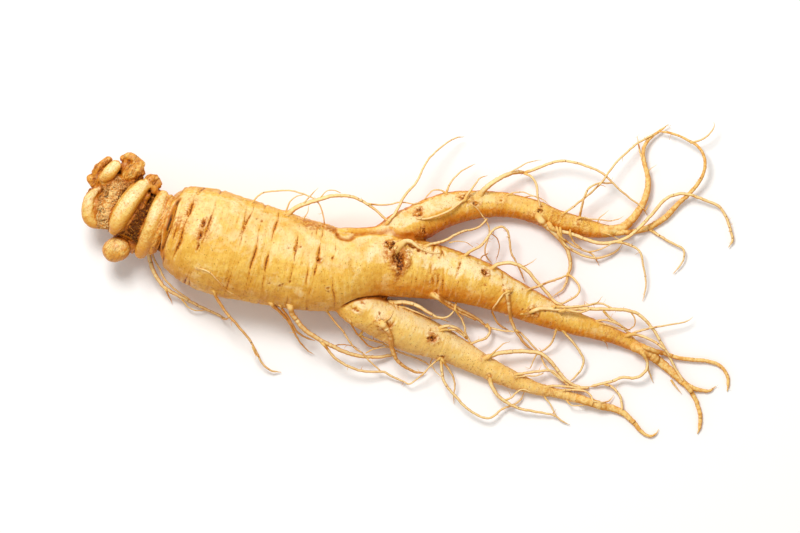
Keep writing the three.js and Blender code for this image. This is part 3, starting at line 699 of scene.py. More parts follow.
upperLegRootlets = {
    "hipLong": (9, 4, 4, 0.5, 0.2, [
        (-6.6, 16.8), (-4.2, 19.5), (-2.6, 22.2), (-1.2, 24.9), (0.8, 27.2), (2.4, 29.1), (3.6, 31.5),
        (4.8, 33.9), (6.6, 36.6), (9, 39), (12, 41.3), (14.4, 42.5), (16.8, 42.9)]),
    "hipSecond": (7, 5, 3, 0.36, 0.15, [
        (11.4, 25.8), (12.3, 28.5), (13.5, 30.3), (15.6, 32.3), (17.7, 33.6), (20.1, 34.7)]),
    "hipCurl": (7, 6, 1, 0.27, 0.18, [(11.4, 26.1), (9.6, 26.9), (7.8, 26.9), (6.3, 25.8), (4.8, 24)]),
    "kneeSprout": (9.5, 7, 2, 0.45, 0.15, [
        (16.8, 24.3), (18.6, 26.6), (20.1, 28.8), (21.6, 30.5), (23.7, 31.2)]),
    "kneeStem": (6.5, 3.5, 4, 0.87, 0.57, [
        (21.3, 25.8), (23.7, 27.9), (26.7, 30), (29.7, 31.6), (33, 32.3), (35.7, 32.1)]),
    "kneeForkUp": (6.8, 1.6, 5, 0.5, 0.24, [
        (34.8, 32), (38.4, 33.3), (41.7, 34.7), (45, 35.5), (48.6, 35.4), (52.2, 34.5), (55.8, 33.2),
        (58.8, 31.4), (61.2, 29.1), (63.9, 26.6), (66.9, 24.2), (69.9, 22.1), (71.7, 19.5)]),
    "kneeForkDown": (6.5, 6.8, 1.5, 0.39, 0.33, [
        (34.5, 32.1), (36.6, 31.1), (38.1, 29.1), (38.7, 26.7), (39, 24), (39.6, 21.9)]),
    "kneeForkHair": (6.5, 6, 1, 0.24, 0.12, [
        (30, 31.8), (32.7, 33.5), (35.4, 34.9), (37.8, 35.6), (39.9, 35.9)]),
    "shinOver": (9.8, 11.5, 1.2, 0.42, 0.33, [
        (16.8, 24), (14.4, 22.1), (11.4, 20.1), (7.8, 18.8), (4.8, 18.2), (2.4, 18.6)]),
    "shinDrop": (9.5, 2.5, 0.5, 0.24, 0.24, [
        (18, 23.1), (20.4, 21.5), (21.9, 19.7), (23.4, 17.7), (24.3, 15), (23.9, 12), (23.1, 9.3),
        (23.6, 6.9), (25.2, 4.8)]),
    "shinCrownHair": (7.3, 7, 0.6, 0.24, 0.15, [
        (29.1, 25.2), (31.2, 26.1), (34.2, 26.3), (36.9, 25.4), (39, 24.3)]),
    "shinCrownSecond": (7, 6.6, 0.5, 0.18, 0.12, [(34.8, 24.9), (37.8, 25.1), (40.5, 24), (42.3, 22.5)]),
    "calfRise": (5.5, 3, 5, 0.39, 0.27, [
        (51.3, 18.3), (51.9, 21.5), (52.5, 24.3), (53.4, 26.7), (55.2, 28.2), (57.6, 29.1),
        (60.9, 29.1)]),
    "calfDiagonal": (5.8, 2.8, 4, 0.33, 0.3, [
        (46.2, 19.8), (49.5, 22), (52.5, 24.3), (55.2, 26.6), (57.6, 28.8), (59.4, 31.2), (60.9, 33.6),
        (62.7, 35.7), (65.7, 38.3), (68.7, 41), (71.4, 42.4), (74.1, 43.8)]),
    "calfHair": (5, 3, 0.6, 0.24, 0.15, [
        (51.6, 18.9), (54.6, 18.2), (57.6, 18), (60.6, 17.7), (63, 18.3), (64.5, 19.1)]),
    "calfHairFork": (4.5, 3.2, 0.5, 0.2, 0.12, [(56.9, 17.1), (57.3, 18.6), (58.8, 19.8), (60.2, 21)]),
    "whipSide": (3, 2.6, 0, 0.36, 0.18, [(70.4, 35.4), (69.6, 38.1), (69, 40.8), (68.7, 43.1)]),
    "whipHair": (3, 2.8, 0, 0.15, 0.1, [(71.7, 32.1), (72.6, 33.2), (73.5, 33.9), (74.4, 34.5)]),
    "whipHairSecond": (2.2, 2.6, 0, 0.18, 0.1, [(71.1, 20.7), (72, 22.2), (72.6, 23.4)]),
    "whipLoopTip": (4.8, 5.6, 0.4, 0.33, 0.18, [
        (84.6, 41.1), (87, 41.6), (89.1, 42.6), (90.8, 44.3), (91.7, 46.1), (91.5, 47.3)]),
    "strandBundle": (6.2, 1.4, 0.6, 1.05, 0.48, [
        (38.7, 19.2), (40.8, 16.8), (42.9, 15), (44.7, 13.2), (46.5, 11.1), (47.9, 8.7), (48.6, 5.7),
        (48.5, 3.3), (47.6, 0.9)]),
    "strandBundleTip": (1.4, 1, 0, 0.45, 0.18, [
        (48, 2.1), (47.4, -0.6), (46.4, -2.7), (44.7, -4.1), (42.9, -5.3)]),
    "strandLoop": (1.4, 1.6, 0.6, 0.36, 0.3, [
        (47.9, 1.8), (50.1, 0), (51.3, -2.1), (50.9, -4.1), (48.9, -5.7), (46.5, -6.9), (44.4, -7.1)]),
    "longWhisker": (3.4, 1, 1.6, 0.63, 0.39, [
        (42.6, 15.3), (46.2, 14.4), (50.1, 13.4), (54, 11.9), (57.9, 11), (61.5, 11.2), (64.5, 12.2),
        (66.9, 13.7), (69.3, 15.9), (72, 18.6), (74.4, 21.3), (76.5, 23.6), (78.9, 25.1), (81.6, 25.8),
        (84.9, 25.4), (88.2, 24.3), (91.2, 23.1), (93.3, 21.8), (95, 19.5), (96.3, 16.5), (97.1, 13.5),
        (97.2, 11.7), (96.3, 9.8)]),
    "sagOne": (1.6, 0.9, 0.2, 0.45, 0.3, [
        (45.6, 12), (48, 9.8), (50.7, 8.1), (53.7, 7), (56.7, 6.6), (60, 7.4), (62.7, 8.9),
        (64.2, 10.8)]),
    "sagTwo": (1.8, 0.8, 0.2, 0.39, 0.2, [
        (45.3, 13.1), (48.6, 10.8), (51.6, 9.3), (54.6, 8.1), (56.1, 6.8), (57.3, 4.4)]),
    "sagTwoFork": (1.2, 1, 0.3, 0.27, 0.18, [(54, 8.4), (56.7, 8.9), (59.4, 10.1), (61.2, 11.1)]),
    "sagThree": (1.8, 1.2, 0.3, 0.3, 0.24, [(48.5, 13.2), (49.8, 11.1), (51.9, 9.3)]),
    "ankleDrop": (2, 0.8, 1.2, 0.45, 0.2, [
        (62.4, 11.4), (65.4, 10.8), (68.1, 9.6), (69.5, 8.1), (70.1, 5.7), (70.7, 2.7), (71.3, -0.3),
        (71.2, -3), (70.5, -6.3)]),
    "ankleCurl": (1.6, 0.8, 1.2, 0.48, 0.2, [
        (72.3, 15.2), (74.7, 13.7), (77.4, 12), (80.1, 10.7), (82.2, 9.6), (82.9, 8.1), (82.5, 6),
        (81.2, 3.9), (79.5, 2)]),
    "ankleHair": (2, 1.2, 0, 0.27, 0.15, [(58.5, 14.1), (60.6, 13.4), (63, 12.3)]),
    "forkBridge": (17.5, 5, 0, 0.54, 0.3, [
        (4.8, 10.1), (7.8, 10.8), (11.1, 11.7), (14.1, 13.5), (17.1, 14.7), (20.1, 15.3), (22.2, 16.7),
        (23.7, 18.2)]),
}

middleLegRootlets = {
    "forkRing": (14.5, 2.4, 2, 0.5, 0.24, [
        (16.5, 7.2), (19.2, 8.8), (21.6, 10.2), (23.7, 12.6), (25.5, 14.9), (27.9, 15.9), (29.7, 14.6),
        (30.4, 12), (30.8, 8.7), (32.1, 5.7), (33.6, 3), (35.1, -0.6)]),
    "forkRingHair": (8, 2, 0, 0.2, 0.12, [
        (24.6, 14.1), (26.6, 12.6), (27.3, 10.2), (27, 7.5), (26.4, 5.4)]),
    "forkRingSide": (12.5, 8, 0, 0.24, 0.18, [(21.5, 6.3), (22.5, 7.4), (23.9, 7.8)]),
    "forkMatHair": (16, 9, 1, 0.18, 0.1, [(12.3, 11.1), (15, 11.6), (17.4, 11.1), (19.2, 9.9)]),
    "knotRoot": (23.5, 19.5, 0.4, 1.15, 0.18, [
        (-2.9, 10.9), (-1.2, 11.6), (1.2, 11.3), (3.6, 9.5), (6.3, 8.3), (9.9, 7.8)]),
    "thighRope": (11, 5.6, 1, 0.6, 0.48, [
        (24.6, 3.6), (27.6, 4.9), (30.6, 5.2), (33.3, 4.4), (35.7, 2.7), (38.1, 0), (40.2, -2.3),
        (42, -4.5), (44.1, -6.6), (46.8, -8)]),
    "thighRopeHair": (9, 7.5, 0.5, 0.2, 0.12, [(33, 4.5), (34.8, 4.3), (36.6, 5.2), (38.4, 6.5)]),
    "thighTie": (8.5, 1.6, 0.4, 0.42, 0.3, [
        (35.4, -3.2), (38.4, -2.1), (41.4, -0.8), (44.7, 0.3), (47.7, 1.4)]),
    "shankRope": (9.2, 1.6, 2.2, 0.66, 0.39, [
        (36.3, -9.6), (39.6, -8.6), (43.8, -8.7), (48.6, -8.7), (53.4, -8.6), (58.2, -8.7), (62.7, -8.8),
        (66.3, -9.2), (69, -10.2), (71.1, -12), (73.2, -14.6), (75, -17.4), (76.8, -20.4), (78.6, -23.4),
        (80.4, -26.9), (82.8, -30.9)]),
    "shankMatOne": (7.4, 3.2, 0.6, 0.42, 0.27, [
        (44.4, -7.8), (48, -8), (51.9, -7.8), (55.2, -7.2), (58.2, -7.1), (60.9, -8.3)]),
    "shankMatTip": (5, 5.5, 0, 0.24, 0.12, [(54, -7.5), (56.7, -6.5), (58.2, -4.8)]),
    "shankMatTwo": (6.8, 5, 0.4, 0.45, 0.3, [(47.1, -8.7), (50.1, -9.5), (52.5, -9.3), (54.9, -8.4)]),
    "shankCross": (5.2, 3.4, 0.3, 0.42, 0.39, [
        (58.5, -9.3), (60.3, -11.3), (62.4, -12.9), (64.5, -14.4), (66.9, -16.4)]),
    "shankMatThree": (6.2, 3.6, 0.5, 0.36, 0.24, [
        (56.1, -12.3), (59.1, -12), (61.8, -12.8), (64.2, -13.9), (66.6, -15)]),
    "shankMatFour": (5.8, 3.6, 0.4, 0.3, 0.2, [(57, -12.8), (60, -13.5), (63, -14.4), (66.3, -14.9)]),
    "footFeeler": (3.8, 3, 1.2, 0.39, 0.15, [
        (66.3, -16.2), (69.6, -15.3), (72.9, -14.3), (76.2, -13.7), (79.8, -13.1), (82.5, -12.7),
        (84.2, -12), (85.4, -11)]),
    "footBrown": (3.8, 2, 0.5, 0.48, 0.36, [
        (66.6, -15.9), (69.9, -16.7), (72.6, -17.9), (75, -19.4), (77.1, -21), (78.9, -23.4)]),
    "footLoop": (2.6, 3, 1, 0.24, 0.18, [(66.6, -9.5), (67.8, -11.4), (67.7, -13.5), (66.3, -14.7)]),
    "footSpur": (1.4, 0.8, 0, 0.33, 0.18, [(78.9, -30), (80.4, -32.1), (81.9, -34.1)]),
    "heelSpike": (1.8, 0.8, 0.2, 0.45, 0.18, [
        (70.2, -21.9), (71.6, -24.5), (72, -26.7), (72.8, -28.8), (73.5, -30.8)]),
    "heelLong": (1.6, 1, 0.5, 0.45, 0.45, [
        (70.5, -22.2), (71.6, -24.3), (71.5, -26.6), (69.9, -28.5), (67.5, -29.4), (64.2, -29.2),
        (61.2, -30.3), (57.9, -31.1), (54, -32.1)]),
    "legHair": (2.6, 1.4, 0, 0.24, 0.12, [(58.2, -18), (59.3, -18.9), (59.9, -20.6)]),
    "calfUnder": (4.6, 1, 0.4, 0.42, 0.3, [
        (46.2, -15.3), (48.9, -18), (51, -20.7), (52.3, -23.1), (52.4, -24.9), (51.6, -27), (50, -29),
        (48.3, -30.5)]),
    "calfUnderTie": (5, 1.4, 0.2, 0.36, 0.27, [
        (44.3, -14.7), (43.5, -17.4), (42.3, -19.5), (40.5, -21), (38.7, -21.5)]),
    "veeThick": (11.2, 1.2, 0.4, 0.75, 0.33, [
        (29.3, -3.3), (29.9, -6.3), (30.3, -9.3), (30.9, -12.3), (32.1, -15), (33.8, -17.7),
        (35.7, -19.8), (37.8, -21.3)]),
    "veeThin": (11.2, 1.4, 0.4, 0.36, 0.27, [
        (29.7, -3.3), (28.1, -4.5), (26.6, -6.6), (25.2, -8.9), (25.7, -10.8), (27, -13.1), (28.8, -14.4),
        (30.9, -15.5)]),
    "veeTail": (1.6, 1.2, 0.4, 0.33, 0.24, [
        (31.5, -14.4), (33.9, -16.2), (36, -18.2), (37.8, -20.1), (39.6, -21.9), (41.4, -23.6),
        (42.9, -25.2)]),
}

lowerLegRootlets = {
    "crotchStrand": (12.4, 2.2, 0, 0.87, 0.42, [
        (7.2, -4.5), (9.3, -5.4), (11.7, -6.6), (14.7, -8.4), (17.7, -9.9), (20.7, -11.5), (24, -14.1)]),
    "crotchStrandLow": (11, 2.2, 0, 0.48, 0.3, [
        (7.8, -4.8), (10.8, -6.9), (13.8, -8.9), (16.8, -10.4), (20.1, -11.9)]),
    "crotchStrandTip": (2.2, 1.4, 0.2, 0.39, 0.24, [
        (23.1, -13.7), (25.8, -14.7), (28.8, -15.2), (31.8, -15.5)]),
    "crotchHook": (2.2, 5.5, 0.3, 0.42, 0.39, [
        (23.7, -13.2), (24.5, -14.9), (24, -16.5), (22.5, -17.8), (20.6, -18.4), (18.6, -19.1)]),
    "crotchDrop": (8, 5, 0, 0.33, 0.36, [
        (14, -9), (15.8, -11.3), (16.9, -13.8), (17.4, -16.4), (18.8, -19.1)]),
    "creaseRoot": (11.5, 5, 1.2, 0.84, 0.24, [
        (-5.1, -6.3), (-2.4, -6.6), (0.6, -6.9), (3.3, -8), (6, -9.6), (8.4, -10.9), (10.5, -11.3),
        (12.3, -10.7), (14.1, -9)]),
    "creaseShadow": (8, 6.4, 0.6, 0.39, 0.24, [
        (-2.7, -7.8), (0.3, -8.7), (3.6, -9.9), (6.9, -11.2), (9.9, -11.5), (12.3, -12.6)]),
    "lapRoot": (8, 7.4, 1, 0.6, 0.36, [
        (9, -14.4), (11.4, -13.7), (13.8, -14), (15.9, -15.3), (17.7, -17.4)]),
    "lapRootLow": (7.4, 7, 0.5, 0.36, 0.24, [(11.4, -14.6), (13.8, -14.9), (15.9, -16.2), (17.4, -17.7)]),
    "peg": (12.3, 1, 1, 1.08, 0.3, [
        (-8.4, -12.8), (-6.6, -14.4), (-5.3, -16.8), (-4.9, -19.5), (-4.2, -22.2), (-2.7, -24.6),
        (-0.3, -26.4), (2.4, -27.6), (5.4, -27.8)]),
    "pegHair": (12.3, 12, 0.4, 0.27, 0.15, [(-6.9, -12.2), (-5.4, -11), (-4.4, -9.2)]),
    "kneeRope": (6.2, 1.3, 0.8, 0.75, 0.48, [
        (22.5, -23.4), (25.5, -22.4), (28.8, -21.6), (32.7, -21.3), (36.6, -21.5), (39.9, -22.2),
        (42.3, -23.9), (44.1, -26.1), (45.9, -28.5), (48, -30.6), (50.7, -32), (54, -32.3)]),
    "kneeRopeHair": (5, 4.5, 0.3, 0.3, 0.15, [
        (24.9, -22.5), (26.7, -20.7), (28.5, -19.2), (30.5, -18.3)]),
    "kneeRopeSpur": (3, 1.2, 0.2, 0.24, 0.12, [(38.7, -22.1), (37.5, -24.3), (36.6, -26.4), (35, -26)]),
    "shinRope": (3.6, 1.2, 0.4, 0.45, 0.33, [
        (31.5, -28.4), (35.7, -27.8), (39.6, -27.2), (42.6, -27.1), (44.7, -28.4), (46.5, -30.3),
        (48.6, -32.1)]),
    "shinRopeSecond": (3.2, 1.6, 0.3, 0.3, 0.18, [
        (32.4, -29.3), (35.4, -28.7), (38.4, -28.7), (40.5, -27.9)]),
    "shinTie": (2.6, 1.4, 0.3, 0.27, 0.2, [
        (39.9, -22.8), (40.8, -25.2), (42.6, -27.2), (44.7, -29.1), (47.4, -31.1)]),
    "ankleMat": (2.4, 1.3, 0.3, 0.42, 0.39, [(41.4, -31.8), (45, -31.8), (48.9, -32.1), (52.5, -32.6)]),
    "ankleMatTip": (2.2, 1, 0.3, 0.42, 0.18, [
        (45.6, -33.1), (49.8, -33), (52.8, -33.3), (54.8, -34.7), (55.5, -36.2), (57.6, -36.7),
        (59.7, -36.5), (61.1, -35.4), (61.8, -34.4)]),
    "heelTie": (1.3, 1.2, 0.6, 0.39, 0.39, [
        (58.8, -31.2), (60.9, -31.8), (62.7, -33.5), (63.9, -35.7), (64.1, -39.6)]),
    "bellyLoop": (4.6, 1, 0.2, 0.48, 0.27, [
        (9.9, -23.7), (10.1, -27), (10.8, -30.3), (12.6, -33), (14.7, -35.3), (17.1, -37.8),
        (19.5, -39.6), (21.9, -40.9), (24.3, -41.4), (26.1, -40.6), (27.9, -38.9), (30.3, -37.9),
        (32.7, -36.8), (34.1, -35.4), (34.8, -33.6)]),
    "bellyDrop": (4.6, 0.8, 0.3, 0.42, 0.18, [
        (10.2, -24), (12, -26.4), (13.5, -29), (14, -31.5), (13.7, -34.2), (13.8, -37.1)]),
    "bellyHair": (4.4, 0.9, 0.2, 0.18, 0.12, [(6.6, -24.9), (8.4, -27.5), (10.2, -29.3)]),
    "bellyCross": (4.6, 0.8, 0.2, 0.3, 0.2, [
        (9.6, -23.6), (7.2, -25.4), (4.8, -27.8), (2.4, -29.9), (0.5, -31.2), (-1.2, -30.5),
        (-3.3, -29.6)]),
    "toeLong": (2.8, 0.8, 0.5, 0.69, 0.2, [
        (24.3, -29.7), (25.5, -32.4), (27.3, -35), (30, -36.9), (33.3, -38.4), (37.2, -39.3),
        (41.1, -39.9), (44, -40.7), (45.9, -42.2), (48.6, -43.4)]),
    "toeTie": (1.2, 3.2, 0.5, 0.33, 0.24, [
        (28.5, -36.2), (30.8, -35.3), (32.4, -33.8), (34.4, -32.8), (36.9, -33.6)]),
    "toeHair": (2.2, 0.8, 0.2, 0.27, 0.18, [(40.8, -34.8), (42.5, -36.9), (43.5, -39), (44.4, -40.7)]),
    "toeHairSecond": (1.8, 0.8, 0.2, 0.24, 0.15, [
        (47.4, -36), (48.8, -37.4), (50.7, -37.7), (52.8, -37.4)]),
}

# The thin ends of the legs. Each station is x, y, z and radius.
legTips = {
    "middleWhip": [
        (67.2, -19.4, 2.4, 1.6), (72.9, -22.7, 1.9, 1.47), (77.1, -25.8, 1.6, 1.3), (81, -29.3, 1.4, 1.1),
        (84, -31.8, 1.2, 0.9), (87.3, -33, 1, 0.63), (90.3, -33.2, 0.8, 0.45), (92.4, -31.8, 0.7, 0.25)],
    "upperWhip": [
        (54.6, 15.4, 2.7, 2.2), (60, 14.7, 2.1, 1.8), (63.6, 15.3, 1.9, 1.5), (66.6, 17.6, 1.9, 1.26),
        (69, 20.7, 2.2, 1.1), (71, 24.3, 2.6, 1), (71.9, 28.2, 3, 0.9), (71.6, 31.8, 3.2, 0.75),
        (70.7, 35.4, 3.2, 0.63), (70.5, 39, 3, 0.57), (72, 41.9, 2.6, 0.54), (74.4, 44, 2.2, 0.42),
        (76.2, 45.3, 2, 0.33), (78, 46.8, 1.8, 0.2)],
    "lowerWhip": [
        (50.4, -35.4, 1.6, 1.3), (57.6, -37.5, 1.5, 1.26), (61.8, -38.7, 1.3, 1.05),
        (65.1, -40.4, 1.1, 0.9), (67.8, -42.8, 1, 0.75), (69.9, -45.3, 0.9, 0.57),
        (72.3, -46.8, 0.8, 0.42), (74.1, -46.2, 0.8, 0.33), (75.2, -44.7, 0.8, 0.2)],
    "sideLoop": [
        (58.8, 14.3, 1.8, 1.2), (63.6, 14.1, 1.2, 0.84), (67.8, 14.6, 1.1, 0.8), (72, 15.6, 1.1, 0.96),
        (75.6, 17.6, 1.2, 0.93), (78.3, 20, 1.5, 0.87), (81, 23, 2.2, 0.72), (84, 25.5, 3.2, 0.63),
        (86.7, 28.7, 4.4, 0.57), (88.4, 31.8, 5.2, 0.5), (89, 35.1, 5.6, 0.48), (88.2, 38.1, 5.4, 0.45),
        (85.8, 40.8, 4.8, 0.42), (81.9, 42.8, 4, 0.35), (77.7, 44.3, 3.2, 0.36), (74.7, 44.4, 2.6, 0.33)],
    "middleTail": [
        (82.2, -30.4, 1.2, 0.75), (84.6, -33.3, 1, 0.72), (86.4, -36.3, 0.9, 0.66),
        (87.6, -39.9, 0.8, 0.63), (87.6, -43.2, 0.8, 0.57), (86.7, -46.1, 0.7, 0.4)],
    "middleSide": [
        (69.6, -19.5, 2.2, 0.78), (73.5, -21.2, 2, 0.75), (77.1, -22.2, 1.8, 0.7), (81, -23.3, 1.6, 0.63),
        (85.5, -23.9, 1.4, 0.6), (89.7, -24.3, 1.2, 0.57), (93, -25.5, 1, 0.54), (95.1, -27.5, 0.9, 0.5),
        (96, -30.3, 0.8, 0.48), (95.7, -33.3, 0.7, 0.4)],
}

strand = {
    "sides": 7,
    "tipSides": 14,
    "step": 0.34,
    "wander": 0.13,
    "nodeGap": (0.8, 2.1),
    "nodeSwell": 0.09,
    "nodePinch": 0.11,
    "ragged": 0.16,
    "taper": 2.6,
    "collar": 0.25,
}
laidStrands = []  # x, y, z and radius of every strand laid so far


def settle(centres, radii, tree, hold):  # lifts a strand over the limbs and over the strands it crosses
    count = len(centres)
    under = np.array([heightBelow(tree, x, y) for x, y in centres[:, :2]])
    under[(under > centres[:, 2] + 2) & (np.arange(count) < 14)] = -9  # it leaves the side of a limb here
    lowest = np.maximum(np.where(hold > 0, under + radii * (1.6 * hold - 1.1), -9), radii * 0.8 + 0.12)
    if laidStrands:
        laid = np.vstack(laidStrands)
        middle = slice(4, count - 3)
        apart = np.hypot(centres[middle, 0][:, None] - laid[:, 0], centres[middle, 1][:, None] - laid[:, 1])
        both = radii[middle][:, None] + laid[:, 3]
        above = laid[:, 2] + np.sqrt(np.maximum(both**2 - apart**2, 0)) * 0.8
        above = np.where((apart < both) & (laid[:, 2] < centres[middle, 2][:, None] + 2.5), above, -1)
        lowest[middle] = np.maximum(lowest[middle], above.max(axis=1))
    ending = (hold < 1) & (under > 0) & (np.arange(count) > count / 2)
    heights = np.where(ending, np.minimum(centres[:, 2], lowest + 6 * hold), centres[:, 2])
    heights = np.maximum(heights, lowest)
    for _ in range(8):
        sagged = 0.25 * heights[:-2] + 0.5 * heights[1:-1] + 0.25 * heights[2:]
        heights[1:-1] = np.maximum(sagged, lowest[1:-1])
    centres[:, 2] = heights
    return centres


def joinHeight(point, fallback, tree):  # the height at which a strand starts or ends
    under = heightBelow(tree, *point)
    if laidStrands:
        laid = np.vstack(laidStrands)
        apart = np.hypot(laid[:, 0] - point[0], laid[:, 1] - point[1])
        nearest = int(np.argmin(apart))
        if apart[nearest] < laid[nearest, 3] + 0.55 and laid[nearest, 2] > under - 0.5:
            return float(laid[nearest, 2])
    return under if under > 0.5 else fallback


def rooted(centres, travel, thick, tree):  # sinks the start of a strand and leads it on under the skin
    skin, normal, _, far = tree.find_nearest(Vector(centres[0]))
    if far > 2.6:
        return centres
    back = Vector(centres[0] - centres[3]).normalized()
    back = np.array(back - normal * back.dot(normal))
    skin, normal, deep = np.array(skin), np.array(normal), thick + 0.2
    sunk = thick * np.exp(-(travel / (1.3 * thick + 0.4)) ** 2)
    first = skin - normal * (2.6 * deep) + back * (2.6 * deep)
    second = skin - normal * (1.6 * deep) + back * (1.1 * deep)
    return np.vstack([first, second, centres - normal * sunk[:, None]])


def layStrand(stations, seed, tree, sides, start=None, end=None, lift=0.0, loose=True):
    curve, travel = smoothCurve(stations, strand["step"])
    centres, radii = curve[:, :3].copy(), curve[:, 3].copy()
    share = travel / travel[-1]
    born = 0.0
    if start is not None:
        centres[:, 2] = start + (end - start) * share**0.8 + lift * np.sin(math.pi * share)
        centres = rooted(centres, travel, radii[0], tree)
        if len(centres) > len(radii):
            born = float(np.linalg.norm(np.diff(centres[:3], axis=0), axis=1).sum())
        radii = np.concatenate([np.full(len(centres) - len(radii), radii[0]), radii])
        curve, travel = smoothCurve(np.column_stack([centres, radii]), strand["step"])
        centres, radii = curve[:, :3].copy(), curve[:, 3].copy()
    if loose:
        radii = radii * (0.35 + 0.65 * smoothStep(0, strand["taper"], travel[-1] - travel))
    sway = np.array([noise.noise_vector(Vector((t / 1.7, seed * 3.7, 0.3))) for t in travel])
    sway += 1.2 * np.array([noise.noise_vector(Vector((t / 5.5, seed * 1.9, 7.3))) for t in travel])
    centres += sway * strand["wander"] * smoothStep(0, 1.5, travel)[:, None] * [1, 1, 0.6]
    hold = smoothStep(born, born + 2.2, travel) * smoothStep(travel[-1] + 0.4, travel[-1] - 1.2, travel)
    centres = settle(centres, radii, tree, hold)
    laidStrands.append(np.column_stack([centres, radii]))

    nodes, place = [], dice.uniform(0.5, 1.6)
    while place < travel[-1]:
        nodes.append((place, dice.random() ** 0.8, dice.uniform(-math.pi, math.pi), dice.uniform(0, 1.0)))
        place += dice.uniform(*strand["nodeGap"])
    angle = np.linspace(0, 2 * math.pi, sides, endpoint=False)
    swell = np.ones((len(travel), sides))
    mark = np.zeros((len(travel), sides))
    pale = np.zeros((len(travel), sides))
    for place, strength, turn, tone in nodes:
        near = np.exp(-((travel - place) / 0.3) ** 2)
        pinch = np.exp(-((travel - place - 0.42) / 0.28) ** 2)
        swell += (strand["nodeSwell"] * strength * near - strand["nodePinch"] * strength * pinch)[:, None]
        facing = np.clip(0.05 + 1.1 * np.cos(angle - turn), 0.0, 1)
        ring = np.exp(-((travel - place - 0.2) / 0.19) ** 2)
        mark = np.maximum(mark, strength * ring[:, None] * facing)
        pale[travel > place] = tone
    ragged = np.array([[noise.noise(Vector((t / 0.9, math.cos(a), math.sin(a) + seed))) for a in angle]
                       for t in travel])
    swell += strand["ragged"] * ragged
    flare = np.exp(-((travel - born + 0.4) / (0.5 + 1.6 * radii[0])) ** 2) if born else 0.1 * np.exp(-travel)
    swell *= (1 + strand["collar"] * flare)[:, None]
    verts, faces = tube(centres, radii[:, None] * swell, sides)
    along = np.repeat(np.maximum(travel - born, 0), sides)
    values = {
        "mark": np.append(mark.ravel(), [0, 0]),
        "pale": np.append(pale.ravel(), [pale[0, 0], pale[-1, 0]]),
        "along": np.append(along, [0, travel[-1]]),
        "thick": np.append(np.repeat(radii, sides), [radii[0], radii[-1]]),
    }
    return verts, faces, values


def makeStrands(name, laid, material):  # one piece from many tubes
    verts, faces = joined([(points, polygons) for points, polygons, _ in laid])
    values = {key: np.concatenate([part[2][key] for part in laid]) for key in laid[0][2]}
    makePiece(name, verts, faces, material, values)


def makeRootlets(name, table, tree, material, firstSeed):
    laid = []
    for seed, (start, end, lift, thick, thin, way) in enumerate(table.values(), firstSeed):
        start = joinHeight(way[0], start, tree)
        landing = joinHeight(way[-1], -1, tree)
        loose = landing < 0
        end = end if loose else landing
        reach = np.linspace(0, 1, len(way)) ** 0.8
        stations = [(x, y, 0, thick + (thin - thick) * share) for (x, y), share in zip(way, reach)]
        laid.append(layStrand(stations, seed, tree, strand["sides"], start, end, lift, loose))
    makeStrands(name, laid, material)


def makeLegTips(tree, material):
    laid = []
    for seed, stations in enumerate(legTips.values(), 900):
        laid.append(layStrand(stations, seed, tree, strand["tipSides"]))
    makeStrands("leg_tips", laid, material)


